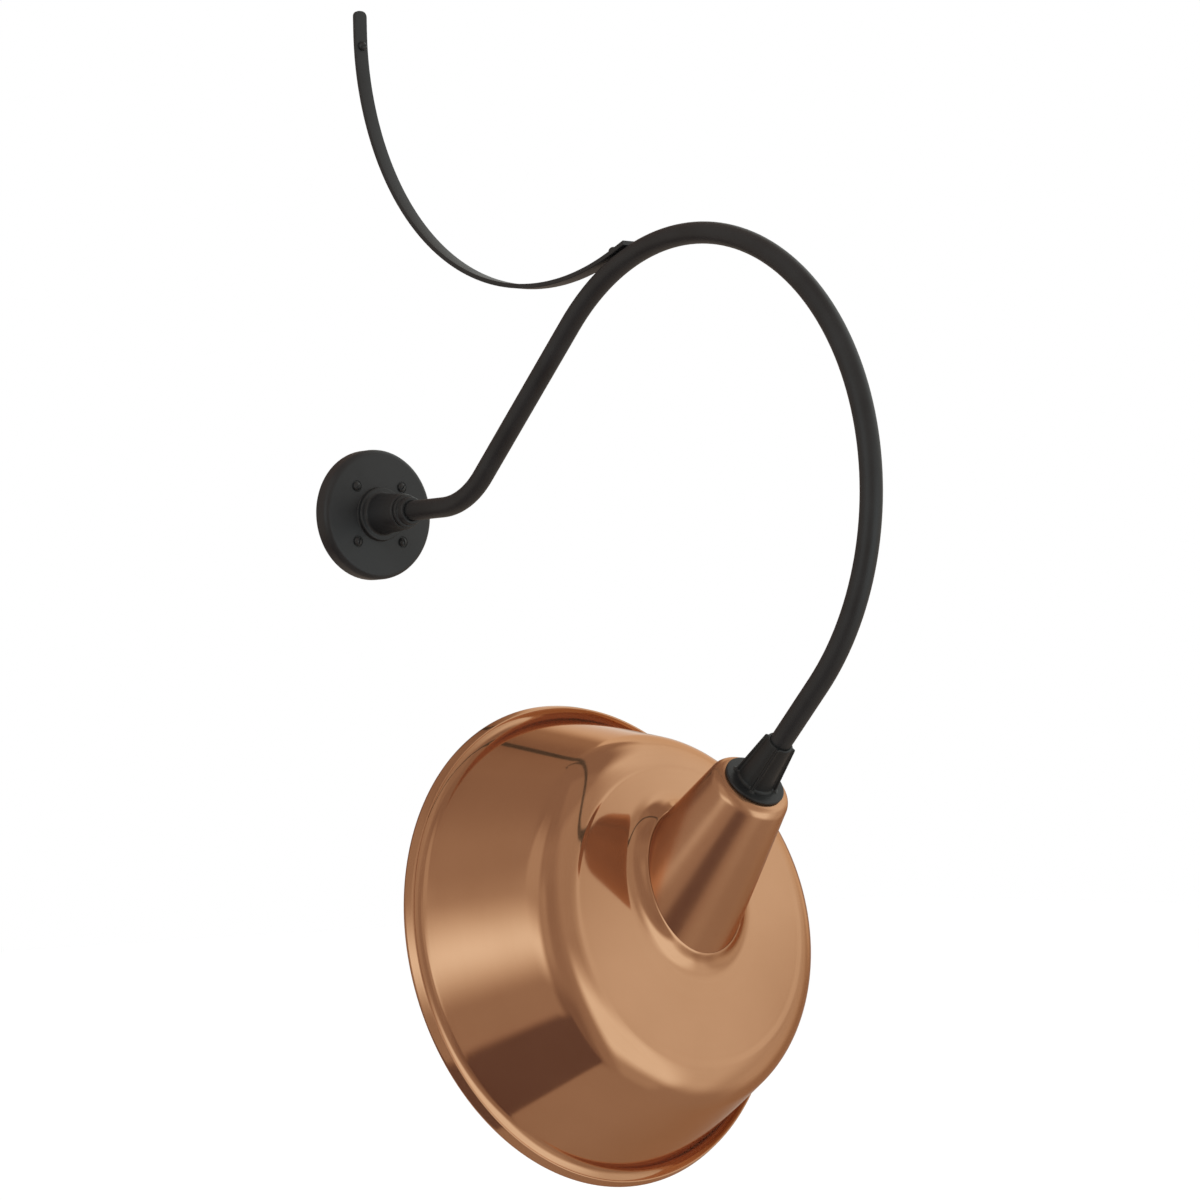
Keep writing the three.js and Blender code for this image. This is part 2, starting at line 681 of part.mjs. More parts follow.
// The raised collar round the neck as a plug. Its crest is level, and its foot follows the dome
function raisedSolid(drop, widthShare, depth) {
  const ring = (share, rise, below) => Array.from({ length: neckSides }, (_, i) => {
    const angle = i / neckSides * 2 * Math.PI;
    const [x, y] = neckCrossing(angle, raisedHeight * rise);
    const centre = neckOffsetWidth + raisedHeight * rise * Math.tan(lean);
    const distance = Math.hypot(x, y - centre);
    const grow = 1 + share * raisedWidth * widthShare / distance;
    const [outX, outY] = [x * grow, centre + (y - centre) * grow];
    const dome = domeHeight(Math.hypot(outX, outY));
    return [outX, outY, THREE.MathUtils.lerp(dome, shadeHeight + raisedHeight, rise) - below];
  });
  const rings = [ring(...raisedShares[0], drop + depth)];
  raisedShares.forEach(([share, rise]) => rings.push(ring(share, rise, drop)));
  return solidOf(lofted(rings));
}

// A closed skin over rings of equally many points, with a fan over each end
function lofted(rings) {
  const count = rings[0].length;
  const middle = (ring) => [0, 1, 2].map((axis) => ring.reduce((sum, p) => sum + p[axis], 0) / count);
  const points = [...rings.flat(), middle(rings[0]), middle(rings.at(-1))];
  const [low, high] = [points.length - 2, points.length - 1];
  const index = [];
  for (let i = 0; i < count; i += 1) {
    const next = (i + 1) % count;
    index.push(low, next, i);
    for (let j = 0; j + 1 < rings.length; j += 1) {
      const [a, b, c, d] = [j * count + i, j * count + next, (j + 1) * count + next, (j + 1) * count + i];
      index.push(a, b, c, a, c, d);
    }
    index.push(high, (rings.length - 1) * count + i, (rings.length - 1) * count + next);
  }
  const geometry = new THREE.BufferGeometry();
  geometry.setAttribute('position', new THREE.Float32BufferAttribute(points.flat(), 3));
  geometry.setIndex(index);
  return geometry;
}

piece('shade', shadeGeometry(), copper, shadeGroup);

// Neck: a cone that closes in a rounded shoulder under the flange, with a skirt inside the shade
function neckGeometry() {
  const slope = neckSeatAngle * degree;
  const side = Math.atan(1 / neckTaperShare);
  const seat = [neckSeatDiameter / 2, -clearance];
  const cornerRadius = (neckRadius(seat[1]) + neckTaperShare * Math.tan(slope) * -seat[0])
    / (1 - neckTaperShare * Math.tan(slope));
  const corner = [cornerRadius, seat[1] - (cornerRadius - seat[0]) * Math.tan(slope)];
  const trim = neckShoulderRadius * Math.tan((side - slope) / 2);
  const arcStart = [corner[0] + trim * Math.cos(side), corner[1] - trim * Math.sin(side)];
  const arcCentre = [
    arcStart[0] - neckShoulderRadius * Math.sin(side),
    arcStart[1] - neckShoulderRadius * Math.cos(side),
  ];
  const fromAngle = rightAngle - side / degree;
  const toAngle = rightAngle - neckSeatAngle;
  const shoulder = (inset) => arc(...arcCentre, neckShoulderRadius - inset, fromAngle, toAngle, 5);
  const seatHole = hubSpigotDiameter / 2 + clearance * 2;
  const end = -neckHeight - neckFootLength;
  const wall = sheetThickness / Math.sin(side);
  const cone = turned([
    [neckRadius(end) - wall, end], [neckRadius(end), end],
    ...shoulder(0), seat, [seatHole, seat[1]],
    [seatHole, seat[1] - sheetThickness], [seat[0], seat[1] - sheetThickness],
    ...shoulder(sheetThickness).reverse(),
  ], neckSides);
  const drop = sheetThickness + clearance * 1.5;
  const below = raisedSolid(drop + sheetThickness / 2, 1, shadeHeight);
  const bore = turned([
    [0, end], [neckRadius(end) - wall, end],
    [neckRadius(-neckShoulderRadius) - wall, -neckShoulderRadius], [0, -neckShoulderRadius],
  ], neckSides);
  const skirt = raisedSolid(drop, skirtWidthShare, sheetThickness * 4)
    .subtract(raisedSolid(drop + sheetThickness, skirtHollowShare, sheetThickness * 8));
  const toNeck = shadePlace.elements;
  return geometryOf(solidOf(cone).subtract(below.transform(toNeck))
    .add(skirt.transform(toNeck))
    .subtract(solidOf(bore)));
}

piece('neck', neckGeometry(), copper, shadeSide);

// Lock nut, stem and lamp holder
const nutTop = -sheetThickness - clearance * 2;
piece('neck_lock_nut', turned([
  [hubSpigotDiameter / 2 + clearance, nutTop - lockNutHeight], [lockNutDiameter / 2, nutTop - lockNutHeight],
  [lockNutDiameter / 2, nutTop], [hubSpigotDiameter / 2 + clearance, nutTop],
], roundSides), steel, fixture);

const stemTop = hubFlangeThickness - clearance;
const stemEnd = stemTop - stemLength;
piece('holder_stem', turned([
  [stemBoreDiameter / 2, stemEnd], [stemDiameter / 2, stemEnd],
  [stemDiameter / 2, stemTop], [stemBoreDiameter / 2, stemTop],
], roundSides), steel, fixture);

const capTop = stemEnd - clearance;
const capEnd = capTop - capLength;
const capRadius = capDiameter / 2;
const capFaceRadius = capRadius - capWallThickness * 3;
piece('holder_cap', turned([
  [capRadius - capWallThickness, capEnd], [capRadius, capEnd], [capRadius, capTop - capWallThickness * 3],
  [capFaceRadius, capTop], [capNeckDiameter / 2, capTop], [capNeckDiameter / 2, capTop + capNeckLength],
  [stemHoleRadius, capTop + capNeckLength], [stemHoleRadius, capTop], [stemBoreDiameter / 2, capTop],
  [stemBoreDiameter / 2, capTop - capWallThickness], [capFaceRadius, capTop - capWallThickness],
  [capRadius - capWallThickness, capTop - capWallThickness * 3],
], roundSides), brass, fixture);

const holderTop = capEnd + capLength / 4;
const holderMouth = holderTop - holderLength;
const shellRadius = lampBaseDiameter / 2 + clearance * 1.5;
const shellTop = holderMouth + holderShellDepth;
const wellRadius = shellRadius + holderShellThickness + clearance;
const wellFloor = holderTop - holderFloorThickness;

function holderGeometry() {
  const solid = solidOf(turned([
    [wellRadius, holderMouth], [holderDiameter / 2, holderMouth], [holderDiameter / 2, holderTop],
    [0, holderTop], [0, wellFloor], [wellRadius, wellFloor],
  ], roundSides));
  const [radius, depth] = [terminalScrew.shank / 2 + clearance, terminalDepth + clearance];
  return geometryOf([-1, 1].reduce((body, side) => body.subtract(solidOf(
    rod(radius, holderTop - depth, holderTop + overrun, screwSides)
      .translate(side * terminalSpacing / 2, 0, 0),
  )), solid));
}

piece('holder_body', holderGeometry(), porcelain, fixture);
piece('holder_shell', turned([
  [shellRadius, holderMouth + clearance], [shellRadius + holderShellThickness, holderMouth + clearance],
  [shellRadius + holderShellThickness, shellTop], [shellRadius, shellTop],
], roundSides), brass, fixture);
const contactTop = wellFloor - clearance;
const contactFace = contactTop - holderContactHeight;
piece('holder_contact', rod(holderContactDiameter / 2, contactFace, contactTop, screwSides), brass, fixture);
const terminalGeometry = screwGeometry(terminalScrew, terminalDepth);
['a', 'b'].forEach((letter, i) => {
  const screw = piece(`terminal_screw_${letter}`, terminalGeometry.clone(), i ? steel : brass, fixture);
  screw.position.set((i * 2 - 1) * terminalSpacing / 2, 0, holderTop + clearance);
});

// Lamp: contact, threaded base and globe
const lampTop = contactFace - clearance;
const tipTop = lampTop - lampContactHeight;
const threadTop = tipTop - lampTipHeight;
const threadEnd = threadTop - lampThreadLength;
const baseEnd = threadEnd - lampSkirtLength;
piece('lamp_contact', turned([
  [0, tipTop + clearance], [lampContactDiameter / 2, tipTop + clearance],
  [lampContactDiameter / 4, lampTop], [0, lampTop],
], screwSides), brass, fixture);

function lampBaseGeometry() {
  const crest = lampBaseDiameter / 2;
  const threadRoot = crest - lampThreadDepth;
  const turns = Math.floor(lampThreadLength / lampThreadPitch);
  const thread = Array.from({ length: turns }, (_, i) => {
    const start = threadEnd + i * lampThreadPitch;
    return [[threadRoot, start], [crest, start + lampThreadPitch / 2]];
  }).flat();
  const inside = threadRoot - lampBaseThickness;
  return turned([
    [inside, baseEnd], [crest, baseEnd], ...thread, [threadRoot, threadTop],
    [lampContactDiameter / 2, tipTop], [0, tipTop],
    [0, threadTop - lampBaseThickness], [inside, threadTop - lampBaseThickness * 2],
  ], roundSides);
}

piece('lamp_base', lampBaseGeometry(), steel, fixture);

// The globe's outline from its bottom to its open throat. inset draws the inner face
function globeOutline(inset) {
  const radius = lampGlobeDiameter / 2 - inset;
  const throat = lampBaseDiameter / 2 - inset;
  const top = baseEnd - clearance;
  const middle = top - lampGlobeLength + lampGlobeDiameter / 2;
  const steps = 6;
  const shoulder = Array.from({ length: steps + 1 }, (_, i) => {
    const share = (1 + Math.cos(Math.PI * i / steps)) / 2;
    return [throat + (radius - throat) * share, middle + (top - middle) * i / steps];
  });
  return [[0, middle - radius], ...arc(0, middle, radius, -rightAngle, 0, steps).slice(1, -1), ...shoulder];
}

const globeWall = [...globeOutline(0), ...globeOutline(lampGlassThickness).reverse()];
piece('lamp_globe', turned(globeWall, roundSides), glass, fixture);

// Leads: along the arm's bore, down the stem and out to the terminals, and into the plate's cavity
fixture.updateMatrixWorld(true);

function leadGeometry(side) {
  const x = side * leadSpacing / 2;
  const inFixture = (px, py, pz) => new THREE.Vector3(px, py, pz).applyMatrix4(fixture.matrixWorld);
  const leadEnd = holderTop + clearance * 2 + terminalScrew.height + leadDiameter / 2;
  const capInside = capTop - capWallThickness - leadDiameter;
  const along = arm.getPoints(arm.steps);
  const points = [
    inFixture(side * terminalSpacing / 2, 0, leadEnd),
    inFixture(side * terminalSpacing / 4, 0, (leadEnd + capInside) / 2),
    inFixture(x * bundledShare, 0, capInside),
    inFixture(x * bundledShare, 0, (stemEnd + stemTop) / 2),
    inFixture(x * bundledShare, 0, stemTop),
    ...along.reverse().map((p) => new THREE.Vector3(x, p.y, p.z)),
    new THREE.Vector3(x, -armSetbackLength + leadDiameter, 0),
    ...jointShares.map(([across, up]) => new THREE.Vector3(
      side * bossBackDiameter * across, -armSetbackLength / 2, bossBackDiameter * up,
    )),
  ];
  const path = new LeadPath(points, false, 'centripetal');
  return swept(circleShape(leadDiameter / 2), path, points.length - 1, leadSides);
}

piece('line_lead', leadGeometry(-1), blackLead);
piece('neutral_lead', leadGeometry(1), whiteLead);

const groundSeat = cavityDepth - clearance;
const groundGeometry = screwGeometry(terminalScrew, terminalDepth / 2);
const groundScrew = piece('ground_screw', groundGeometry, greenLead, wallSide);
groundScrew.position.set(...groundPlace, groundSeat);
groundScrew.rotation.x = Math.PI;

function groundLeadGeometry() {
  const reach = groundSeat - terminalScrew.height - clearance - leadDiameter / 2;
  const r = cavityRadius - platePillarDiameter / 2;
  const path = new LeadPath(Array.from({ length: 9 }, (_, i) => {
    const angle = (i * groundLeadStepAngle - rightAngle) * degree;
    const radius = THREE.MathUtils.lerp(-groundPlace[1], r, Math.min(1, i / 4));
    const away = reach - i / 8 * groundLeadHeight;
    return new THREE.Vector3(radius * Math.cos(angle), -away, radius * Math.sin(angle));
  }));
  return swept(circleShape(leadDiameter / 2), path, 8, leadSides);
}

piece('ground_lead', groundLeadGeometry(), greenLead);

export default root;
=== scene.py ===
from math import acos, asin, atan, atan2, ceil, copysign, cos, hypot, pi, sin, sqrt, tan
import bpy
import bmesh
from mathutils import Matrix, Vector


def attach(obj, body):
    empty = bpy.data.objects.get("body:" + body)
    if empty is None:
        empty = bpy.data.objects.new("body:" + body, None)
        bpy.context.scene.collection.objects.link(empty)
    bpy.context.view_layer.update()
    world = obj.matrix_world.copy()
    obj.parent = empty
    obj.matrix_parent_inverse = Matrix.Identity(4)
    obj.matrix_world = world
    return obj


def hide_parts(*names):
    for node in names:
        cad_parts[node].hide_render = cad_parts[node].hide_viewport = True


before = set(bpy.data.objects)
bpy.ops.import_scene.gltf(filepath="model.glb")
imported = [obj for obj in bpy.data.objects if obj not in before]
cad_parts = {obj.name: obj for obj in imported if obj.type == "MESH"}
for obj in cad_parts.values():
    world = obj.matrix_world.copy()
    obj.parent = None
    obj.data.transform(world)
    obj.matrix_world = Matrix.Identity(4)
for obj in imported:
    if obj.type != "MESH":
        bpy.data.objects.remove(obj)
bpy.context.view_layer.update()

# Lengths are in millimetres until a mesh is made. The wall is the plane Y = 0, the room lies
# towards -Y, and +Z is up.
MM = 0.001
RAD = pi / 180
MERGE = 1e-4

CLEAR = 0.3
SHEET = 1.2

PLATE_RADIUS = 69.85
PLATE_FACE = 19.5
PLATE_WALL = 4.5
PLATE_CAVITY_RADIUS = 57.85
PLATE_SCREW_SPACING = 59
PLATE_SEAT_FLOOR_RADIUS = 5.9
PLATE_SEAT_MOUTH_RADIUS = 6.6
PLATE_SEAT_DEPTH = 0.5
PLATE_HOLE_RADIUS = 2.4
GASKET_OUTER = 65.85
GASKET_INNER = 60.45
GASKET_THICK = 1.7
BOSS_RING_RADIUS = 28.75
BOSS_RING_HEIGHT = 5.5
BOSS_ROOT_RADIUS = 22
BOSS_FRONT_RADIUS = 19
BOSS_REACH = 66
BOSS_BACK_RADIUS = 17
BOSS_BACK_RECESS = 5

PIPE_RADIUS = 10.67
PIPE_FIT = PIPE_RADIUS + CLEAR
PIPE_CHAMFER = 0.6
BORE_RADIUS = 7.9
ARM_SETBACK = 9
ARM_FIRST_REACH = 133.4
ARM_FIRST_RADIUS = 101.6
ARM_FIRST_TURN = 43.2
ARM_RISE = 206.2
ARM_SECOND_RADIUS = 256
ARM_SECOND_TURN = 179.4
HUB_SETBACK = 74
HUB_SOCKET = 30

COLLAR_RADIUS = 17.5
COLLAR_LENGTH = 5
COLLAR_NOSE_RADIUS = 14.75
COLLAR_NOSE_LENGTH = 8

STRAP_WIDTH = 15.9
STRAP_THICK = 4.76
STRAP_EDGE = 0.9
STRAP_HEADING = 20
STRAP_BEFORE = 8
STRAP_AFTER = 13
STRAP_UPPER_RADIUS = 288
STRAP_UPPER_TURN = 14
STRAP_WALL_END = 22
STRAP_CORNER = 6
STRAP_SCREW_BELOW = 16.5
STRAP_SCREW_BEFORE = 12
STRAP_HOLE_RADIUS = 2.8

# Slotted screws: across the head, the head's height, across the shank, the slot's width
PLATE_SCREW = (9.6, 3.2, 4.2, 1.3)
STRAP_FIXING = (9.6, 5, 5, 1.4)
SMALL_SCREW = (6.4, 2, 3.4, 1)
SCREW_DOME_SHARE = 0.72
SCREW_CHAMFER = 0.3
SET_SCREW_RADIUS = 2.4
SET_SCREW_SOCKET = 1.2
SET_SCREW_SOCKET_DEPTH = 2
SET_SCREW_HOLE_RADIUS = 2.7

HUB_TOP_RADIUS = 13.2
HUB_FOOT_RADIUS = 17.5
HUB_HEIGHT = 50.8
HUB_FLANGE_RADIUS = 30.5
HUB_FLANGE_INNER = 24.5
HUB_FLANGE = 3
HUB_SPIGOT_RADIUS = 16
HUB_SPIGOT_LENGTH = 15
HUB_CHAMBER_RADIUS = 7.5
HUB_RIBS = 4
HUB_RIB_WIDTH = 3
HUB_RIB_TOP = 15.9
HUB_RIB_FOOT = 21.8
HUB_RIB_CROWN = 1.3
HUB_RIB_FILLET = 2.2
HUB_FOOT_FILLET = 2.6
HUB_TOP_EDGE = 1.2
HUB_SCREW_DEPTH = 12

NECK_TOP_RADIUS = 39.25
NECK_TAPER = 0.166
NECK_SHOULDER = 12
NECK_SEAT_RADIUS = 28
NECK_SEAT_SLOPE = 12
NECK_TO_CROWN = 135.7
NECK_LEAN = 31.6
NECK_OFFSET = 32
NECK_SIDES = 192
# The neck's skirt lies under the raised collar, at these shares of the collar's width
NECK_SKIRT = [0.08, 0.2, 0.32, 0.45, 0.58, 0.7, 0.8, 0.86]
SHADE_TURN = 8

SHADE_RADIUS = 241.3
SHADE_HEIGHT = 153.6
SHADE_SIDES = 240
CROWN_HEIGHT = 11.5
SHOULDER_DIAMETER = 350.8
SHOULDER_RADIUS = 48
FOOT_WIDTH = 17.3
FOOT_HEIGHT = 18
BEAD_RADIUS = 6.1
CURL_RADIUS = 14
EDGE_SETBACK = 4.1
EDGE_HEIGHT = 13.3
EDGE_RADIUS = 1.2
BAND_CORNER = 3.5
RAISED_HEIGHT = 9.4
RAISED_WIDTH = 24
RAISED_CREST = 0.08
RAISED_POWER = 2.6
SEAM_GAP = 0.35
# Steps from the seam over the raised collar, and from there over the dome
COLLAR_STEPS = 24
DOME_STEPS = 24

LOCK_NUT_ACROSS = 48
LOCK_NUT_HEIGHT = 6
LOCK_NUT_CHAMFER = 0.6
STEM_RADIUS = 6.35
STEM_BORE = 4.7
STEM_LENGTH = 66
STEM_PITCH = 1.4
STEM_THREAD_DEPTH = 0.45
CAP_RADIUS = 21.5
CAP_LENGTH = 20
CAP_WALL = 0.9
CAP_BAND = 0.7
CAP_NECK_RADIUS = 9
CAP_NECK_LENGTH = 8
HOLDER_RADIUS = 20
HOLDER_LENGTH = 42
HOLDER_FLOOR = 9
HOLDER_SHELL_DEPTH = 28
HOLDER_WALL = 0.5
HOLDER_LIP_RADIUS = 18.6
HOLDER_WAIST_RADIUS = 18.8
HOLDER_WAIST = 24
HOLDER_CONTACT_RADIUS = 5.5
HOLDER_CONTACT_HEIGHT = 1.4
SHELL_THREAD_DEPTH = 0.15
TERMINAL_SPACING = 23
TERMINAL_HOLE_RADIUS = 2
TERMINAL_HOLE_DEPTH = 6.3

LAMP_RADIUS = 13
LAMP_THREAD = 21
LAMP_PITCH = 3.63
LAMP_THREAD_DEPTH = 0.9
LAMP_BASE_WALL = 0.8
LAMP_SKIRT = 4
LAMP_TIP = 5
LAMP_CONTACT_RADIUS = 4.5
LAMP_CONTACT_HEIGHT = 1.6
GLOBE_RADIUS = 30
GLOBE_LENGTH = 84
GLOBE_STEPS = 28
GLASS_WALL = 1
# A thread rises and fades over this share of its pitch
THREAD_FADE = 0.7

LEAD_RADIUS = 1.4
LEAD_SPACING = 4.2
GROUND_STEPS = 8


# Outlines

def polar(radius, angle, *height):
    """The point at a radius and an angle, at a height where one is given."""
    return (radius * cos(angle), radius * sin(angle), *height)


def turns(count):
    """The angles of equal steps all the way round."""
    return [2 * pi * k / count for k in range(count)]


def quarter(steps):
    """The angles of equal steps through a quarter turn, with both ends."""
    return [k / steps * pi / 2 for k in range(steps + 1)]


def circle(radius, height, sides):
    return [polar(radius, a, height) for a in turns(sides)]


def arc(x, y, radius, start, stop, steps):
    """Points of an arc, with both ends, in degrees."""
    angles = [(start + (stop - start) * i / steps) * RAD for i in range(steps + 1)]
    return [(x + radius * cos(a), y + radius * sin(a)) for a in angles]


def spread(start, stop, steps):
    """Points of a straight between two points, without its ends."""
    return [tuple(a + (b - a) * k / steps for a, b in zip(start, stop)) for k in range(1, steps)]


def rounded(corners, steps=5, closed=True):
    """An outline of (x, y, radius) corners with an arc at each corner that has a radius."""
    points = []
    last = len(corners) - 1
    for i, (x, y, radius) in enumerate(corners):
        corner = Vector((x, y))
        if not radius or (not closed and i in (0, last)):
            points.append((x, y))
            continue
        back = Vector(corners[i - 1][:2]) - corner
        ahead = Vector(corners[(i + 1) % len(corners)][:2]) - corner
        half = back.angle(ahead) / 2
        trim = min(radius / tan(half), back.length * 0.48, ahead.length * 0.48)
        reach = trim * tan(half) / sin(half)
        centre = corner + (back.normalized() + ahead.normalized()).normalized() * reach
        start = corner + back.normalized() * trim - centre
        sweep = start.angle_signed(corner + ahead.normalized() * trim - centre)
        for k in range(steps + 1):
            a = -sweep * k / steps
            points.append((
                centre.x + start.x * cos(a) - start.y * sin(a),
                centre.y + start.x * sin(a) + start.y * cos(a),
            ))
    return points


# Meshes

own_frames = {}


def new_object(name, data):
    thing = bpy.data.objects.new(name, data)
    bpy.context.scene.collection.objects.link(thing)
    return thing


def smooth(mesh, sharp):
    mesh.shade_smooth()
    mesh.set_sharp_from_angle(angle=sharp * RAD)


def new_piece(name, bm, place=Matrix.Identity(4), sharp=40):
    """A bmesh in millimetres becomes a smooth object at the origin. place puts its mesh in the frame."""
    bmesh.ops.remove_doubles(bm, verts=bm.verts, dist=MERGE)
    bmesh.ops.recalc_face_normals(bm, faces=bm.faces)
    bmesh.ops.scale(bm, vec=(MM, MM, MM), verts=bm.verts)
    bm.transform(place)
    mesh = bpy.data.meshes.new(name)
    bm.to_mesh(mesh)
    bm.free()
    smooth(mesh, sharp)
    own_frames[name] = place
    return new_object(name, mesh)


def ring_mesh(rings, ends="joined"):
    """Faces between rings of equally many points. The ends are joined, capped or open."""
    bm = bmesh.new()
    loops = [[bm.verts.new(p) for p in ring] for ring in rings]
    for low, high in zip(loops, loops[1:] + (loops[:1] if ends == "joined" else [])):
        for i in range(len(low)):
            j = (i + 1) % len(low)
            bm.faces.new((low[i], low[j], high[j], high[i]))
    if ends == "capped":
        for loop in (loops[0], loops[-1]):
            bm.faces.new(loop)
    return bm


def lathe_mesh(outline, sides):
    """A closed outline of (radius, height) turned about Z. Points on the axis close to one."""
    on_axis = outline[0][0] == 0 and outline[-1][0] == 0
    bm = ring_mesh([circle(r, h, sides) for r, h in outline], "open" if on_axis else "joined")
    bmesh.ops.remove_doubles(bm, verts=bm.verts, dist=MERGE)
    bmesh.ops.dissolve_degenerate(bm, dist=MERGE / 10, edges=bm.edges)
    return bm


def lathe(name, outline, place, sides=96):
    return new_piece(name, lathe_mesh(outline, sides), place)


def cut(piece, cutter, sharp=40):
    """Takes the cutter's solid out of the piece, and the cutter out of the scene."""
    change = piece.modifiers.new("cut", "BOOLEAN")
    change.object = cutter
    change.operation = "DIFFERENCE"
    change.solver = "EXACT"
    graph = bpy.context.evaluated_depsgraph_get()
    whole, piece.data = piece.data, bpy.data.meshes.new_from_object(piece.evaluated_get(graph))
    piece.modifiers.clear()
    bpy.data.meshes.remove(whole)
    bpy.data.objects.remove(cutter)
    smooth(piece.data, sharp)
    return piece


def bored(piece, radius, low, high, place, sides=32, sharp=40):
    """Cuts a round hole along Z of its place."""
    hole = lathe_mesh([(0, low), (radius, low), (radius, high), (0, high)], sides)
    return cut(piece, new_piece("hole_cutter", hole, place), sharp)


# Places

def at(x, y, z):
    return Matrix.Translation((x * MM, y * MM, z * MM))


def turn(degrees, axis):
    return Matrix.Rotation(degrees * RAD, 4, axis)


WALL = turn(90, "X")
ACROSS = Vector((1, 0, 0))


class Route:
    """A path in the arm's plane that follows on smoothly. Its legs are straights, (length, 0, 0),
    and arcs, (0, radius, degrees)."""

    def __init__(self, start, heading, legs):
        self.legs = []
        self.end = start
        for length, radius, swing in legs:
            self.legs.append((self.end, heading, length, radius, swing))
            self.end = self.point(self.legs[-1], 1)
            heading += swing

    @staticmethod
    def point(leg, share):
        (x, y), facing, length, radius, swing = leg
        a = facing * RAD
        if length:
            return (x + length * share * cos(a), y + length * share * sin(a))
        b = a + swing * share * RAD
        s = copysign(radius, swing)
        return (x + s * (sin(b) - sin(a)), y - s * (cos(b) - cos(a)))

    def stations(self, step_angle=2, step_length=25):
        """Points in space all along the path, each with the direction out from the path."""
        found = []
        for leg in self.legs:
            _, facing, length, _, swing = leg
            steps = max(1, ceil(length / step_length if length else abs(swing) / step_angle))
            for k in range(1 if found else 0, steps + 1):
                share = k / steps
                heading = (facing + swing * share) * RAD
                u, v = self.point(leg, share)
                found.append((Vector((0, -u, v)), Vector((0, sin(heading), cos(heading)))))
        return found


ARM_START = (ARM_SETBACK, 0)
ARM_LEGS = [
    (ARM_FIRST_REACH - ARM_SETBACK, 0, 0),
    (0, ARM_FIRST_RADIUS, ARM_FIRST_TURN),
    (ARM_RISE, 0, 0),
    (0, ARM_SECOND_RADIUS, -ARM_SECOND_TURN),
]
ARM_ROUTE = Route(ARM_START, 0, ARM_LEGS + [(HUB_SETBACK + HUB_SOCKET - CLEAR, 0, 0)])
bend_start = Route(ARM_START, 0, ARM_LEGS[:3]).end
bend_end = Route(ARM_START, 0, ARM_LEGS).end
along_end = polar(1, (ARM_FIRST_TURN - ARM_SECOND_TURN) * RAD)
seat_distance = HUB_SETBACK + HUB_HEIGHT + HUB_FLANGE
fixture_place = [p + seat_distance * way for p, way in zip(bend_end, along_end)]
fixture_tilt = atan2(-along_end[0], -along_end[1]) / RAD
FIXTURE = at(0, -fixture_place[0], fixture_place[1]) @ turn(fixture_tilt, "X")
SHADE_SIDE = FIXTURE @ turn(SHADE_TURN, "Z")
lean_matrix = turn(NECK_LEAN, "X")
crown_point = lean_matrix @ (Vector((0, NECK_OFFSET, SHADE_HEIGHT)) * MM)
SHADE_IN_NECK = Matrix.Translation(Vector((0, 0, -NECK_TO_CROWN * MM)) - crown_point) @ lean_matrix
SHADE = SHADE_SIDE @ SHADE_IN_NECK


# Screws

def round_screw(name, form, length, matrix, spin=0):
    """A slotted round head on the plane 0, with its shank below."""
    head, height, shank, slot = form
    rise = height * SCREW_DOME_SHARE
    dome_radius = (head * head / 4 + rise ** 2) / (2 * rise)
    start = asin((head / 2 - SCREW_CHAMFER) / dome_radius) / RAD
    outline = [
        (0, -length), (shank / 2 - SCREW_CHAMFER, -length), (shank / 2, -length + SCREW_CHAMFER),
        (shank / 2, 0), (head / 2 - 0.15, 0), (head / 2, 0.15), (head / 2, height * 0.24),
        *arc(0, height - dome_radius, dome_radius, 90 - start, 90, 8)[:-1], (0, height),
    ]
    place = matrix @ turn(spin, "Z")
    bm = bmesh.new()
    bmesh.ops.create_cube(bm, size=1, matrix=Matrix.Diagonal((head + 2, slot, height, 1)))
    bmesh.ops.translate(bm, vec=(0, 0, height), verts=bm.verts)
    return cut(lathe(name, outline, place, 48), new_piece("slot_cutter", bm, place))


def set_screw(name, start, stop, place):
    outline = rounded([
        (0, start, 0), (SET_SCREW_RADIUS, start, 0.5), (SET_SCREW_RADIUS, stop, 0.35), (0, stop, 0),
    ], 3, closed=False)
    ends = (stop - SET_SCREW_SOCKET_DEPTH, stop + SET_SCREW_SOCKET_DEPTH)
    socket = ring_mesh([circle(SET_SCREW_SOCKET, z, 6) for z in ends], "capped")
    return cut(lathe(name, outline, place, 32), new_piece("socket_cutter", socket, place))


# Wall plate

PLATE_SCREW_PLACES = [
    (x * PLATE_SCREW_SPACING / 2, y * PLATE_SCREW_SPACING / 2) for y in (1, -1) for x in (-1, 1)
]


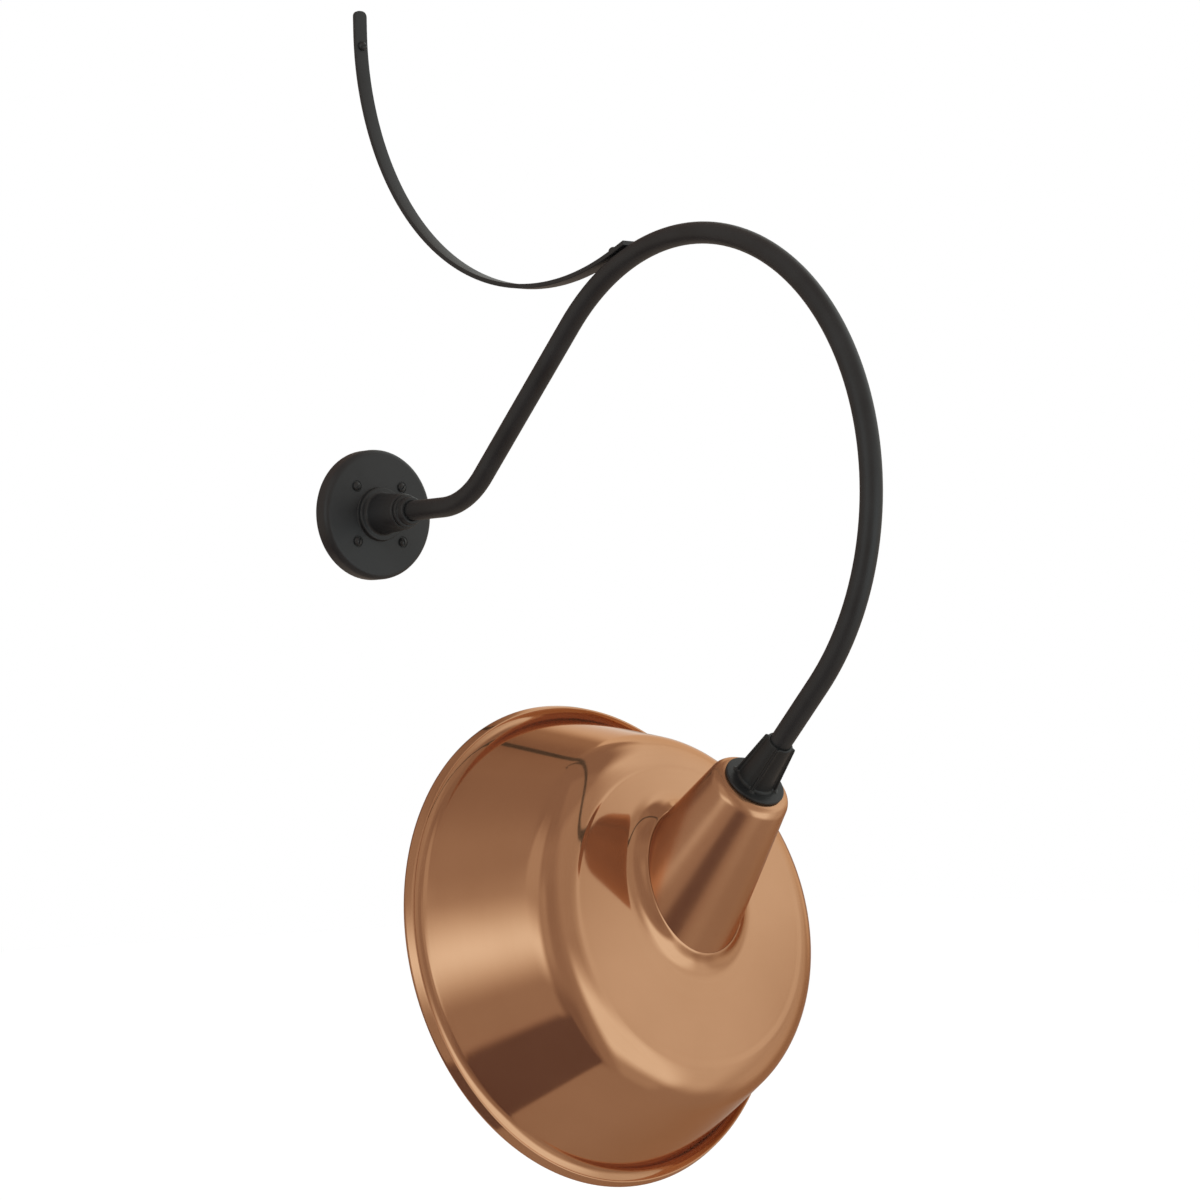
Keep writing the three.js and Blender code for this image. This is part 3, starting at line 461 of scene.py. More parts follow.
def backplate():
    ring_top = PLATE_FACE + BOSS_RING_HEIGHT
    cavity = PLATE_FACE - PLATE_WALL
    outline = rounded([
        (PLATE_CAVITY_RADIUS, 0, 0.5),
        (GASKET_INNER - CLEAR, 0, 0), (GASKET_INNER - CLEAR, GASKET_THICK + CLEAR, 0),
        (GASKET_OUTER + CLEAR, GASKET_THICK + CLEAR, 0), (GASKET_OUTER + CLEAR, 0, 0),
        (PLATE_RADIUS, 0, 1), (PLATE_RADIUS, PLATE_FACE, 6.5),
        (BOSS_RING_RADIUS, PLATE_FACE, 1.2), (BOSS_RING_RADIUS, ring_top, 1.7),
        (BOSS_ROOT_RADIUS, ring_top, 3), (BOSS_FRONT_RADIUS, BOSS_REACH, 2), (PIPE_FIT, BOSS_REACH, 0.4),
        (PIPE_FIT, cavity - BOSS_BACK_RECESS, 0.4), (BOSS_BACK_RADIUS, cavity - BOSS_BACK_RECESS, 1.5),
        (BOSS_BACK_RADIUS, cavity, 1.5), (PLATE_CAVITY_RADIUS, cavity, 3),
    ], 6)
    piece = lathe("wall_plate", outline, WALL, 160)
    seat_floor, seat_mouth = PLATE_FACE - PLATE_SEAT_DEPTH, PLATE_FACE + 0.4
    for x, y in PLATE_SCREW_PLACES:
        place = WALL @ at(x, y, 0)
        seat = lathe_mesh([
            (0, seat_floor), (PLATE_SEAT_FLOOR_RADIUS, seat_floor),
            (PLATE_SEAT_MOUTH_RADIUS, seat_mouth), (0, seat_mouth),
        ], 48)
        cut(piece, new_piece("seat_cutter", seat, place))
        bored(piece, PLATE_HOLE_RADIUS, -2, PLATE_FACE + 2, place)
    return piece


def wall_gasket():
    outline = rounded([
        (GASKET_INNER, 0, 0.5), (GASKET_OUTER, 0, 0.5), (GASKET_OUTER, GASKET_THICK, 0.5),
        (GASKET_INNER, GASKET_THICK, 0.5),
    ], 3)
    return lathe("foam_ring", outline, WALL, 128)


collar_start = BOSS_REACH + CLEAR
collar_step = collar_start + COLLAR_LENGTH
collar_end = collar_step + COLLAR_NOSE_LENGTH
COLLAR_SCREW = WALL @ at(0, 0, collar_end - COLLAR_NOSE_LENGTH / 2) @ turn(-90, "X")


def arm_collar():
    outline = rounded([
        (PIPE_FIT, collar_start, 0.3), (COLLAR_RADIUS, collar_start, 1.2), (COLLAR_RADIUS, collar_step, 1.5),
        (COLLAR_NOSE_RADIUS, collar_step, 1), (COLLAR_NOSE_RADIUS, collar_end, 1.8), (PIPE_FIT, collar_end, 0.3),
    ], 5)
    return bored(lathe("pipe_collar", outline, WALL), SET_SCREW_HOLE_RADIUS, 5, 20, COLLAR_SCREW)


# Arm and strap

def gooseneck_arm():
    path = ARM_ROUTE.stations()

    def ring(station, radius):
        p, out = station
        return [p + (ACROSS * cos(a) + out * sin(a)) * radius for a in turns(48)]

    rings = [ring(path[0], BORE_RADIUS), ring(path[0], PIPE_RADIUS - PIPE_CHAMFER)]
    rings += [ring(station, PIPE_RADIUS) for station in path]
    rings += [ring(path[-1], PIPE_RADIUS - PIPE_CHAMFER)]
    rings += [ring(station, BORE_RADIUS) for station in reversed(path)]
    return new_piece("arm_pipe", ring_mesh(rings))


def beside_bend(along, out):
    """A point beside the second bend: along the strap from the point of touch, and out from the arm."""
    a, first = STRAP_HEADING * RAD, ARM_FIRST_TURN * RAD
    r = ARM_SECOND_RADIUS + out
    return (
        bend_start[0] + ARM_SECOND_RADIUS * sin(first) - r * sin(a) + along * cos(a),
        bend_start[1] - ARM_SECOND_RADIUS * cos(first) + r * cos(a) + along * sin(a),
    )


TOUCH_OFFSET = PIPE_FIT + STRAP_THICK / 2
swing_start = beside_bend(-STRAP_BEFORE, TOUCH_OFFSET)
upper, foot = (STRAP_UPPER_TURN - 90) * RAD, STRAP_HEADING * RAD
upper_shift = STRAP_UPPER_RADIUS * (sin(upper) + 1)
STRAP_LOWER_RADIUS = (swing_start[0] - STRAP_THICK / 2 - upper_shift) / (sin(foot) - sin(upper))
strap_drop = STRAP_UPPER_RADIUS * cos(upper) + STRAP_LOWER_RADIUS * (cos(foot) - cos(upper))
STRAP_BEND = swing_start[1] + strap_drop
STRAP_TOP = STRAP_BEND + STRAP_WALL_END
STRAP_SCREW = STRAP_BEND - STRAP_SCREW_BELOW


def strap_arm_place(out):
    u, v = beside_bend(-STRAP_SCREW_BEFORE, out)
    return at(0, -u, v) @ turn(-STRAP_HEADING, "X")


def support_strap():
    path = Route((STRAP_THICK / 2, STRAP_TOP - STRAP_CORNER), -90, [
        (STRAP_WALL_END - STRAP_CORNER, 0, 0),
        (0, STRAP_UPPER_RADIUS, STRAP_UPPER_TURN),
        (0, STRAP_LOWER_RADIUS, 90 + STRAP_HEADING - STRAP_UPPER_TURN),
        (STRAP_BEFORE + STRAP_AFTER, 0, 0),
    ]).stations(1.5, 6)
    width, thick = STRAP_WIDTH / 2, STRAP_THICK / 2

    def section(station, half, shift=0):
        p, out = station
        corners = [(x, y, STRAP_EDGE) for x, y in ((-half, -thick), (half, -thick), (half, thick), (-half, thick))]
        return [p + ACROSS * x + out * y + ACROSS.cross(out) * shift for x, y in rounded(corners, 4)]

    rings = []
    for a in quarter(6)[:-1]:
        rings.append(section(path[0], width - STRAP_CORNER + STRAP_CORNER * sin(a), -STRAP_CORNER * cos(a)))
    rings += [section(station, width) for station in path]
    piece = new_piece("strap_bar", ring_mesh(rings, "capped"))
    for place in (WALL @ at(0, STRAP_SCREW, 0), strap_arm_place(TOUCH_OFFSET)):
        bored(piece, STRAP_HOLE_RADIUS, -12, 12, place)
    return piece


# Hub

def hub_ring(z, core, rib, half, fillet):
    """A level ring of the hub: a round core and its ribs, with fillets beside them and rounded edges."""
    cx, cy = sqrt((core + fillet) ** 2 - (half + fillet) ** 2), half + fillet
    tangent = atan2(cy, cx)
    crown = min(HUB_RIB_CROWN, half * 0.85)
    side = [polar(core, pi / 4 + (tangent - pi / 4) * k / 6) for k in range(6)]
    side += arc(cx, cy, fillet, tangent / RAD - 180, -90, 5) + arc(rib - crown, half - crown, crown, 90, 0, 5)
    bay = side + [(x, -y) for x, y in reversed(side)][:-1]
    ring = []
    for q in range(HUB_RIBS):
        a = (q + 0.5) * pi / 2
        ring += [(x * cos(a) + y * sin(a), x * sin(a) - y * cos(a), z) for x, y in bay]
    return ring


def circle_like(ring, radius, z):
    """A circle with a point in the direction of each point of the ring."""
    return [(radius * x / hypot(x, y), radius * y / hypot(x, y), z) for x, y, _ in ring]


hub_top = HUB_FLANGE + HUB_HEIGHT
HUB_SCREW = FIXTURE @ at(0, 0, hub_top - HUB_SCREW_DEPTH) @ turn(90, "Y")


def shade_hub():
    face, floor = HUB_FLANGE, hub_top - HUB_SOCKET
    stem = STEM_RADIUS + CLEAR

    def at_height(z, flare=0, shrink=0):
        share = (z - face) / HUB_HEIGHT
        core = HUB_FOOT_RADIUS + (HUB_TOP_RADIUS - HUB_FOOT_RADIUS) * share + flare - shrink
        rib = HUB_RIB_FOOT + (HUB_RIB_TOP - HUB_RIB_FOOT) * share + flare - shrink
        half = HUB_RIB_WIDTH / 2 + flare - shrink * 0.6
        return hub_ring(z, core, rib, half, HUB_RIB_FILLET - flare * 0.3)

    sample = at_height(face)
    outer = rounded([
        (stem, -HUB_SPIGOT_LENGTH, 0), (HUB_SPIGOT_RADIUS, -HUB_SPIGOT_LENGTH, 1),
        (HUB_SPIGOT_RADIUS, 0, 0), (HUB_FLANGE_RADIUS, 0, 0.9), (HUB_FLANGE_RADIUS, face, 1.1),
        (HUB_FLANGE_INNER, face, 0),
    ], 4, closed=False)
    inner = [
        (PIPE_FIT, hub_top), (PIPE_FIT, floor), (HUB_CHAMBER_RADIUS, floor), (HUB_CHAMBER_RADIUS, face),
        (stem, face),
    ]
    rings = [circle_like(sample, r, z) for r, z in outer]
    for a in quarter(6):
        rings.append(at_height(face + HUB_FOOT_FILLET * (1 - cos(a)), HUB_FOOT_FILLET * (1 - sin(a))))
    rings += [at_height(face + HUB_HEIGHT * share) for share in (0.2, 0.35, 0.5, 0.65, 0.8, 0.93)]
    for a in quarter(4):
        height = hub_top - HUB_TOP_EDGE + HUB_TOP_EDGE * sin(a)
        rings.append(at_height(height, 0, HUB_TOP_EDGE * (1 - cos(a)) * 0.9))
    rings += [circle_like(sample, r, z) for r, z in inner]
    piece = new_piece("hub_casting", ring_mesh(rings), FIXTURE, 50)
    return bored(piece, SET_SCREW_HOLE_RADIUS, 8, 26, HUB_SCREW, sharp=50)


# Shade and neck

SHOULDER_HEIGHT = SHADE_HEIGHT - CROWN_HEIGHT
lean = NECK_LEAN * RAD
raised_middle = NECK_OFFSET + RAISED_HEIGHT * tan(lean)
wall_start = Vector((SHADE_RADIUS - FOOT_WIDTH, FOOT_HEIGHT))
wall_slope = atan((wall_start.x - SHOULDER_DIAMETER / 2) / (SHOULDER_HEIGHT - FOOT_HEIGHT))
wall_outward = Vector(polar(1, wall_slope))
bead_middle = Vector((SHADE_RADIUS - BEAD_RADIUS, BEAD_RADIUS))


def dome_height(r):
    return SHOULDER_HEIGHT + CROWN_HEIGHT * (1 - (2 * r / SHOULDER_DIAMETER) ** 2)


def neck_radius(z):
    return NECK_TOP_RADIUS - NECK_TAPER * z


def circle_crossing(centre, radius, other, other_radius):
    """Where two circles cross, on the side of the shade's axis."""
    gap = other - centre
    along = (gap.length_squared + radius ** 2 - other_radius ** 2) / (2 * gap.length)
    way = gap.normalized()
    return centre + way * along + Vector((way.y, -way.x)) * sqrt(radius ** 2 - along ** 2)


def shade_profile(inset):
    """The shade's outline from the rim to the dome's edge: foot curl and wall, then shoulder."""
    dome_edge = atan(4 * CROWN_HEIGHT / SHOULDER_DIAMETER)
    trim = SHOULDER_RADIUS * tan((pi / 2 - wall_slope - dome_edge) / 2)
    centre = (
        SHOULDER_DIAMETER / 2 + trim * wall_outward.y - SHOULDER_RADIUS * wall_outward.x,
        SHOULDER_HEIGHT - trim * wall_outward.x - SHOULDER_RADIUS * wall_outward.y,
    )
    shoulder = arc(*centre, SHOULDER_RADIUS - inset, wall_slope / RAD, 90 - dome_edge / RAD, 22)
    curl_centre = wall_start + wall_outward * CURL_RADIUS
    radius = CURL_RADIUS + inset
    if inset:
        end = circle_crossing(curl_centre, radius, bead_middle, BEAD_RADIUS)
    else:
        across = SHADE_RADIUS - EDGE_SETBACK - EDGE_RADIUS - curl_centre.x
        end = curl_centre + Vector((across, -sqrt(radius ** 2 - across ** 2)))
    end_angle = atan2(curl_centre.y - end.y, curl_centre.x - end.x) / RAD
    curl = arc(*curl_centre, radius, 180 + end_angle, 180 + wall_slope / RAD, 12)
    return curl + spread(curl[-1], shoulder[0], 8), shoulder


def rim_profile():
    """The rim's outline from the curl to the inner face: folded edge, flat band, rolled underside."""
    edge = Vector((SHADE_RADIUS - EDGE_SETBACK, EDGE_HEIGHT))
    depth = (edge - bead_middle).dot(wall_outward) + EDGE_RADIUS
    corner_angle = wall_slope - acos((depth - BAND_CORNER) / (BEAD_RADIUS - BAND_CORNER))
    corner = bead_middle + Vector(polar(1, corner_angle)) * (BEAD_RADIUS - BAND_CORNER)
    fold = arc(*edge, EDGE_RADIUS, 180, wall_slope / RAD, 8)
    lower = arc(*corner, BAND_CORNER, wall_slope / RAD, corner_angle / RAD, 6)
    inner_end = Vector(shade_profile(SHEET)[0][0]) - bead_middle
    inner_angle = atan2(inner_end.y, inner_end.x) / RAD - 360
    underside = arc(*bead_middle, BEAD_RADIUS, corner_angle / RAD, inner_angle, 30)[1:-1]
    return fold + spread(fold[-1], lower[0], 4) + lower + underside


def neck_crossing(angle, level):
    """Where the neck's outer face crosses a level above the crown, in the shade's frame."""
    crown_radius = neck_radius(-NECK_TO_CROWN)
    across = sin(angle) * sin(lean)
    along = (level + crown_radius * across) / (cos(lean) + NECK_TAPER * across)
    radius = crown_radius - NECK_TAPER * along
    return radius * cos(angle), NECK_OFFSET + along * sin(lean) + radius * sin(angle) * cos(lean)


def raised_rise(share):
    """The raised collar's height share at a share of its width: a narrow crest, then a long hollow foot."""
    along = hypot(share, RAISED_CREST) - RAISED_CREST
    return max(0, 1 - along / (hypot(1, RAISED_CREST) - RAISED_CREST)) ** RAISED_POWER


def raised_point(angle, share, drop=0):
    """A point of the raised collar, a share of its width away from the seam."""
    x, y = neck_crossing(angle, RAISED_HEIGHT)
    distance = hypot(x, y - raised_middle)
    grown = 1 + (SEAM_GAP + share * (RAISED_WIDTH - SEAM_GAP)) / distance
    px, py = x * grown, raised_middle + (y - raised_middle) * grown
    dome = dome_height(hypot(px, py))
    return Vector((px, py, dome + (SHADE_HEIGHT + RAISED_HEIGHT - dome) * raised_rise(share) - drop))


def level_rings(directions, outline):
    """Rings round the shade's axis, one for each (radius, height) of the outline."""
    return [[Vector((d.x * r, d.y * r, z)) for d in directions] for r, z in outline]


def shade_rings(inset):
    """Rings of the shade's outer or inner face, from the seam to the rim, and the points' directions."""
    angles = turns(SHADE_SIDES)
    flare, shoulder = shade_profile(inset)
    dome_start = shoulder[-1][0]
    feet = [raised_point(a, 1) for a in angles]
    directions = []
    for foot in feet:
        d = Vector((foot.x, foot.y - raised_middle)).normalized()
        b = raised_middle * d.y
        reach = -b + sqrt(b * b - raised_middle ** 2 + dome_start ** 2)
        directions.append(Vector((d.x * reach, raised_middle + d.y * reach)) / dome_start)
    rings = []
    for k in range(COLLAR_STEPS + 1):
        rings.append([raised_point(a, (k / COLLAR_STEPS) ** 1.5, inset) for a in angles])
    for k in range(1, DOME_STEPS):
        share = k / DOME_STEPS
        ring = []
        for foot, d in zip(feet, directions):
            x = foot.x + (d.x * dome_start - foot.x) * share
            y = foot.y + (d.y * dome_start - foot.y) * share
            ring.append(Vector((x, y, dome_height(hypot(x, y)) - inset)))
        rings.append(ring)
    return rings + level_rings(directions, shoulder[::-1] + flare[::-1]), directions


def shade():
    outer, directions = shade_rings(0)
    inner, _ = shade_rings(SHEET)
    rings = outer + level_rings(directions, rim_profile()) + inner[::-1]
    return new_piece("copper_shade", ring_mesh(rings), SHADE, 50)


def neck():
    angles = turns(NECK_SIDES)
    slope = NECK_SEAT_SLOPE * RAD
    side = atan(1 / NECK_TAPER)
    seat_r, seat_z = NECK_SEAT_RADIUS, -CLEAR
    corner_r = (neck_radius(seat_z) - NECK_TAPER * tan(slope) * seat_r) / (1 - NECK_TAPER * tan(slope))
    corner_z = seat_z - (corner_r - seat_r) * tan(slope)
    trim = NECK_SHOULDER * tan((side - slope) / 2)
    centre = (
        corner_r + trim * NECK_TAPER / hypot(1, NECK_TAPER) - NECK_SHOULDER * sin(side),
        corner_z - trim * sin(side) - NECK_SHOULDER * cos(side),
    )
    shoulder_end = 90 - side / RAD
    hole = HUB_SPIGOT_RADIUS + CLEAR * 2

    def level(r, z):
        return [Vector(p) for p in circle(r, z, NECK_SIDES)]

    def in_neck(point):
        return (SHADE_IN_NECK @ (point * MM)) / MM

    def skirt(shares, drop):
        return [[in_neck(raised_point(a, share, drop)) for a in angles] for share in shares]

    def crest(drop, inset):
        """The neck's face, or inset from it, where it passes the crest of the raised collar."""
        ring = []
        for a in angles:
            x, y = neck_crossing(a, RAISED_HEIGHT - drop)
            p = in_neck(Vector((x, y, SHADE_HEIGHT + RAISED_HEIGHT - drop)))
            shrink = 1 - inset / hypot(p.x, p.y)
            ring.append(Vector((p.x * shrink, p.y * shrink, p.z)))
        return ring

    def blend(ring_a, ring_b, share):
        return [a.lerp(b, share) for a, b in zip(ring_a, ring_b)]

    outer = [(hole, seat_z), (seat_r - 1, seat_z), (seat_r, seat_z)]
    outer += arc(*centre, NECK_SHOULDER, 90 - NECK_SEAT_SLOPE, shoulder_end, 14)
    inner = arc(*centre, NECK_SHOULDER - SHEET, shoulder_end, 90 - NECK_SEAT_SLOPE, 10)
    inner += [(seat_r, seat_z - SHEET), (hole, seat_z - SHEET)]
    drop = SHEET + CLEAR
    outer_end, inner_end = crest(drop + 1.4, 0), crest(drop + SHEET + 1.8, SHEET)
    rings = [level(r, z) for r, z in outer]
    rings += [blend(level(*outer[-1]), outer_end, k / 14) for k in range(1, 15)]
    rings += skirt(NECK_SKIRT, drop) + skirt(NECK_SKIRT[::-1], drop + SHEET)
    rings += [blend(inner_end, level(*inner[0]), k / 12) for k in range(12)]
    rings += [level(r, z) for r, z in inner]
    return new_piece("copper_neck", ring_mesh(rings), SHADE_SIDE, 50)


# Lamp holder and lamp, downwards from the hub

nut_top = -SHEET - 2 * CLEAR
stem_top = HUB_FLANGE - CLEAR
stem_end = stem_top - STEM_LENGTH
cap_top = stem_end - CLEAR
cap_end = cap_top - CAP_LENGTH
holder_top = cap_end + CAP_LENGTH / 4
holder_mouth = holder_top - HOLDER_LENGTH
shell_radius = LAMP_RADIUS + CLEAR * 1.5
shell_top = holder_mouth + HOLDER_SHELL_DEPTH
well_radius = shell_radius + HOLDER_WALL + CLEAR
well_floor = holder_top - HOLDER_FLOOR
contact_top = well_floor - CLEAR
contact_face = contact_top - HOLDER_CONTACT_HEIGHT
lamp_top = contact_face - CLEAR
tip_top = lamp_top - LAMP_CONTACT_HEIGHT
thread_top = tip_top - LAMP_TIP
thread_end = thread_top - LAMP_THREAD
base_end = thread_end - LAMP_SKIRT


def hexagon(outline_radius, angle):
    """The radius of a hexagon, whose corners reach outline_radius, in a direction."""
    return outline_radius * cos(pi / 6) / cos((angle % (pi / 3)) - pi / 6)


def lock_nut():
    across = LOCK_NUT_ACROSS / 2
    bore = HUB_SPIGOT_RADIUS + CLEAR
    low = nut_top - LOCK_NUT_HEIGHT
    cone = [(across * 0.9, 0), (across * 0.95, 0.7), (across, 1.5)]
    outline = [(bore, low + LOCK_NUT_CHAMFER), (bore + LOCK_NUT_CHAMFER, low)]
    outline += [(limit, low + z) for limit, z in cone] + [(limit, nut_top - z) for limit, z in reversed(cone)]
    outline += [(bore + LOCK_NUT_CHAMFER, nut_top), (bore, nut_top - LOCK_NUT_CHAMFER)]
    rings = [[polar(min(hexagon(across, a), limit), a, z) for a in turns(144)] for limit, z in outline]
    return new_piece("lock_nut", ring_mesh(rings), FIXTURE, 28)


def threaded(name, radius, depth, pitch, start, stop, below, above, sides, per_turn):
    """A turned skin whose radius carries a helical thread between two heights.
    below and above are the (radius, height) points that close it."""
    rings = [circle(r, z, sides) for r, z in below]
    rows = int((stop - start) / pitch * per_turn)
    for row in range(rows + 1):
        z = start + (stop - start) * row / rows
        fade = max(0, min(1, (z - start) / (pitch * THREAD_FADE), (stop - z) / (pitch * THREAD_FADE)))
        ring = []
        for k, a in enumerate(turns(sides)):
            wave = 0.5 + 0.5 * cos(2 * pi * (z / pitch - k / sides))
            ring.append(polar(radius - depth * (1 - wave) * fade, a, z))
        rings.append(ring)
    rings += [circle(r, z, sides) for r, z in above]
    return new_piece(name, ring_mesh(rings), FIXTURE, 60)


def holder_stem():
    root = STEM_RADIUS - 0.5
    return threaded(
        "threaded_stem", STEM_RADIUS, STEM_THREAD_DEPTH, STEM_PITCH, stem_end + 0.4, stem_top - 0.4,
        [(STEM_BORE, stem_end), (root, stem_end)], [(root, stem_top), (STEM_BORE, stem_top)], 48, 6,
    )


def holder_cap():
    bore = STEM_RADIUS + CLEAR
    side = CAP_RADIUS - CAP_BAND
    neck_end = cap_top + CAP_NECK_LENGTH
    outline = rounded([
        (CAP_RADIUS - CAP_WALL, cap_end, 0.2), (CAP_RADIUS, cap_end, 0.4), (CAP_RADIUS, cap_end + 2.5, 0.6),
        (side, cap_end + 3.2, 0.6), (side, cap_top, 3.4),
        (CAP_NECK_RADIUS, cap_top, 1.2), (CAP_NECK_RADIUS, neck_end, 0.8),
        (bore, neck_end, 0), (bore, cap_top, 0), (STEM_BORE, cap_top, 0),
        (STEM_BORE, cap_top - CAP_WALL, 0), (side - CAP_WALL, cap_top - CAP_WALL, 2.6),
    ], 5)
    return lathe("holder_cover", outline, FIXTURE)


def holder_body():
    waist = holder_mouth + HOLDER_WAIST
    outline = rounded([
        (well_radius, holder_mouth, 1), (HOLDER_LIP_RADIUS, holder_mouth, 1.2),
        (HOLDER_LIP_RADIUS, holder_mouth + 4, 0.8), (HOLDER_RADIUS, holder_mouth + 5.2, 0.8),
        (HOLDER_RADIUS, waist, 1.2), (HOLDER_WAIST_RADIUS, waist + 1.6, 1),
        (HOLDER_WAIST_RADIUS, holder_top, 1.2), (0, holder_top, 0), (0, well_floor, 0), (well_radius, well_floor, 1),
    ], 5)
    piece = lathe("porcelain_body", outline, FIXTURE)
    for side in (-1, 1):
        place = FIXTURE @ at(side * TERMINAL_SPACING / 2, 0, 0)
        bored(piece, TERMINAL_HOLE_RADIUS, holder_top - TERMINAL_HOLE_DEPTH, holder_top + 2, place, 24)
    return piece


def holder_shell():
    low = holder_mouth + CLEAR
    lip = shell_radius + 0.1
    outside = shell_radius + HOLDER_WALL
    return threaded(
        "screw_shell", shell_radius + SHELL_THREAD_DEPTH, SHELL_THREAD_DEPTH, LAMP_PITCH, low + 1, shell_top - 1,
        [(outside, low + 0.2), (outside - 0.1, low), (lip, low)],
        [(lip, shell_top), (outside - 0.1, shell_top), (outside, shell_top - 0.2)], 64, 10,
    )


def holder_contact():
    r = HOLDER_CONTACT_RADIUS
    step = contact_face + 0.4
    outline = rounded([
        (0, contact_face, 0), (r * 0.55, contact_face, 0.3), (r * 0.7, step, 0.3), (r, step, 0.3),
        (r, contact_top, 0.2), (0, contact_top, 0),
    ], 4, closed=False)
    return lathe("centre_contact", outline, FIXTURE, 48)


def lamp_contact():
    foot = tip_top + CLEAR
    rise = lamp_top - tip_top - CLEAR
    outline = [(0, foot), (LAMP_CONTACT_RADIUS, foot)]
    outline += [(LAMP_CONTACT_RADIUS * cos(a * RAD), foot + rise * sin(a * RAD)) for a in range(10, 90, 10)]
    return lathe("lamp_tip_solder", outline + [(0, lamp_top)], FIXTURE, 48)


def lamp_base():
    root = LAMP_RADIUS - LAMP_THREAD_DEPTH
    inside = root - LAMP_BASE_WALL
    return threaded(
        "threaded_base", LAMP_RADIUS, LAMP_THREAD_DEPTH, LAMP_PITCH, thread_end, thread_top,
        [(inside, base_end), (LAMP_RADIUS - 0.2, base_end), (LAMP_RADIUS, base_end + 0.3),
         (LAMP_RADIUS, thread_end - 0.3)],
        [(root * 0.93, thread_top + 0.8), (root * 0.8, thread_top + 1.8),
         (LAMP_CONTACT_RADIUS * 1.25, tip_top - 0.6), (LAMP_CONTACT_RADIUS, tip_top), (0.4, tip_top),
         (0.4, thread_top - 0.8), (inside, thread_top - 1.6)],
        72, 12,
    )


def globe_outline(inset):
    radius = GLOBE_RADIUS - inset
    throat = LAMP_RADIUS - inset
    top = base_end - CLEAR
    middle = top - GLOBE_LENGTH + GLOBE_RADIUS
    outline = [(0, middle - radius)] + arc(0, middle, radius, -90, 0, GLOBE_STEPS)[1:-1]
    for k in range(GLOBE_STEPS + 1):
        share = (1 + cos(pi * k / GLOBE_STEPS)) / 2
        outline.append((throat + (radius - throat) * share, middle + (top - middle) * k / GLOBE_STEPS))
    return outline


def lamp_globe():
    return lathe("frosted_globe", globe_outline(0) + globe_outline(GLASS_WALL)[::-1], FIXTURE)


# Leads

def lead(name, points, sides=14, steps=6):
    """A round wire along a smooth curve through the points."""
    curve = []
    guide = [points[0], *points, points[-1]]
    for p0, p1, p2, p3 in zip(guide, guide[1:], guide[2:], guide[3:]):
        for k in range(steps):
            t = k / steps
            bend = (2 * p0 - 5 * p1 + 4 * p2 - p3) * t * t
            curve.append(0.5 * (2 * p1 + (p2 - p0) * t + bend + (3 * p1 - p0 - 3 * p2 + p3) * t ** 3))
    curve.append(points[-1])
    normal = ACROSS
    rings = []
    for i, p in enumerate(curve):
        tangent = (curve[min(i + 1, len(curve) - 1)] - curve[max(i - 1, 0)]).normalized()
        normal = (normal - tangent * normal.dot(tangent)).normalized()
        other = tangent.cross(normal)
        rings.append([p + (normal * cos(a) + other * sin(a)) * LEAD_RADIUS for a in turns(sides)])
    return new_piece(name, ring_mesh(rings, "capped"), sharp=50)


def arm_lead(name, side):
    """From a terminal of the holder through the stem and the arm to the back of the plate."""
    x = side * LEAD_SPACING / 2
    lead_end = holder_top + CLEAR * 2 + 2 + LEAD_RADIUS
    cap_inside = cap_top - CAP_WALL - LEAD_RADIUS * 2
    in_fixture = [
        (side * TERMINAL_SPACING / 2, lead_end), (side * TERMINAL_SPACING / 4, (lead_end + cap_inside) / 2),
        (x * 0.9, cap_inside), (x * 0.9, (stem_end + stem_top) / 2), (x * 0.9, stem_top),
    ]
    points = [(FIXTURE @ (Vector((px, 0, pz)) * MM)) / MM for px, pz in in_fixture]
    points += [Vector((x, p.y, p.z)) for p, _ in reversed(ARM_ROUTE.stations(6, 60))]
    back = BOSS_BACK_RADIUS * 2
    points += [
        Vector((x, -ARM_SETBACK + LEAD_RADIUS * 2, 0)),
        Vector((side * back / 3, -ARM_SETBACK / 2, back / 6)),
        Vector((side * back / 2, -ARM_SETBACK / 2, back * 2 / 3)),
        Vector((side * back / 3, -ARM_SETBACK / 2, back * 4 / 3)),
    ]
    return lead(name, points, 12, 3)


GROUND_PLACE = BOSS_BACK_RADIUS + TERMINAL_SPACING / 2
GROUND_SEAT = PLATE_FACE - PLATE_WALL - CLEAR


def ground_lead():
    reach = GROUND_SEAT - 2 - CLEAR - LEAD_RADIUS
    points = []
    for i in range(GROUND_STEPS + 1):
        radius = GROUND_PLACE + (PLATE_CAVITY_RADIUS - 6 - GROUND_PLACE) * min(1, i / 4)
        x, z = polar(radius, (i * 12 - 90) * RAD)
        points.append(Vector((x, -reach + i / GROUND_STEPS * 11 / 4, z)))
    return lead("ground_wire", points)


# Assembly

bow = STRAP_UPPER_RADIUS - sqrt(STRAP_UPPER_RADIUS ** 2 - STRAP_SCREW_BELOW ** 2)
wall_seat = STRAP_THICK + bow + CLEAR * 2
arm_seat = TOUCH_OFFSET + STRAP_THICK / 2 + CLEAR * 2
hub_core = HUB_TOP_RADIUS + (HUB_FOOT_RADIUS - HUB_TOP_RADIUS) * HUB_SCREW_DEPTH / HUB_HEIGHT


def plate_screw(number, x, y):
    place = WALL @ at(x, y, PLATE_FACE + CLEAR)
    name = f"slotted_plate_screw_{number}"
    return round_screw(name, PLATE_SCREW, PLATE_FACE, place, number * 180 / 7), f"plate_screw_{number}", "fasteners"


def terminal_screw(letter, side, slot):
    place = FIXTURE @ at(side * TERMINAL_SPACING / 2, 0, holder_top + CLEAR)
    piece = round_screw(f"slotted_terminal_{letter}", SMALL_SCREW, 6, place, 30 * side)
    return piece, f"terminal_screw_{letter}", slot


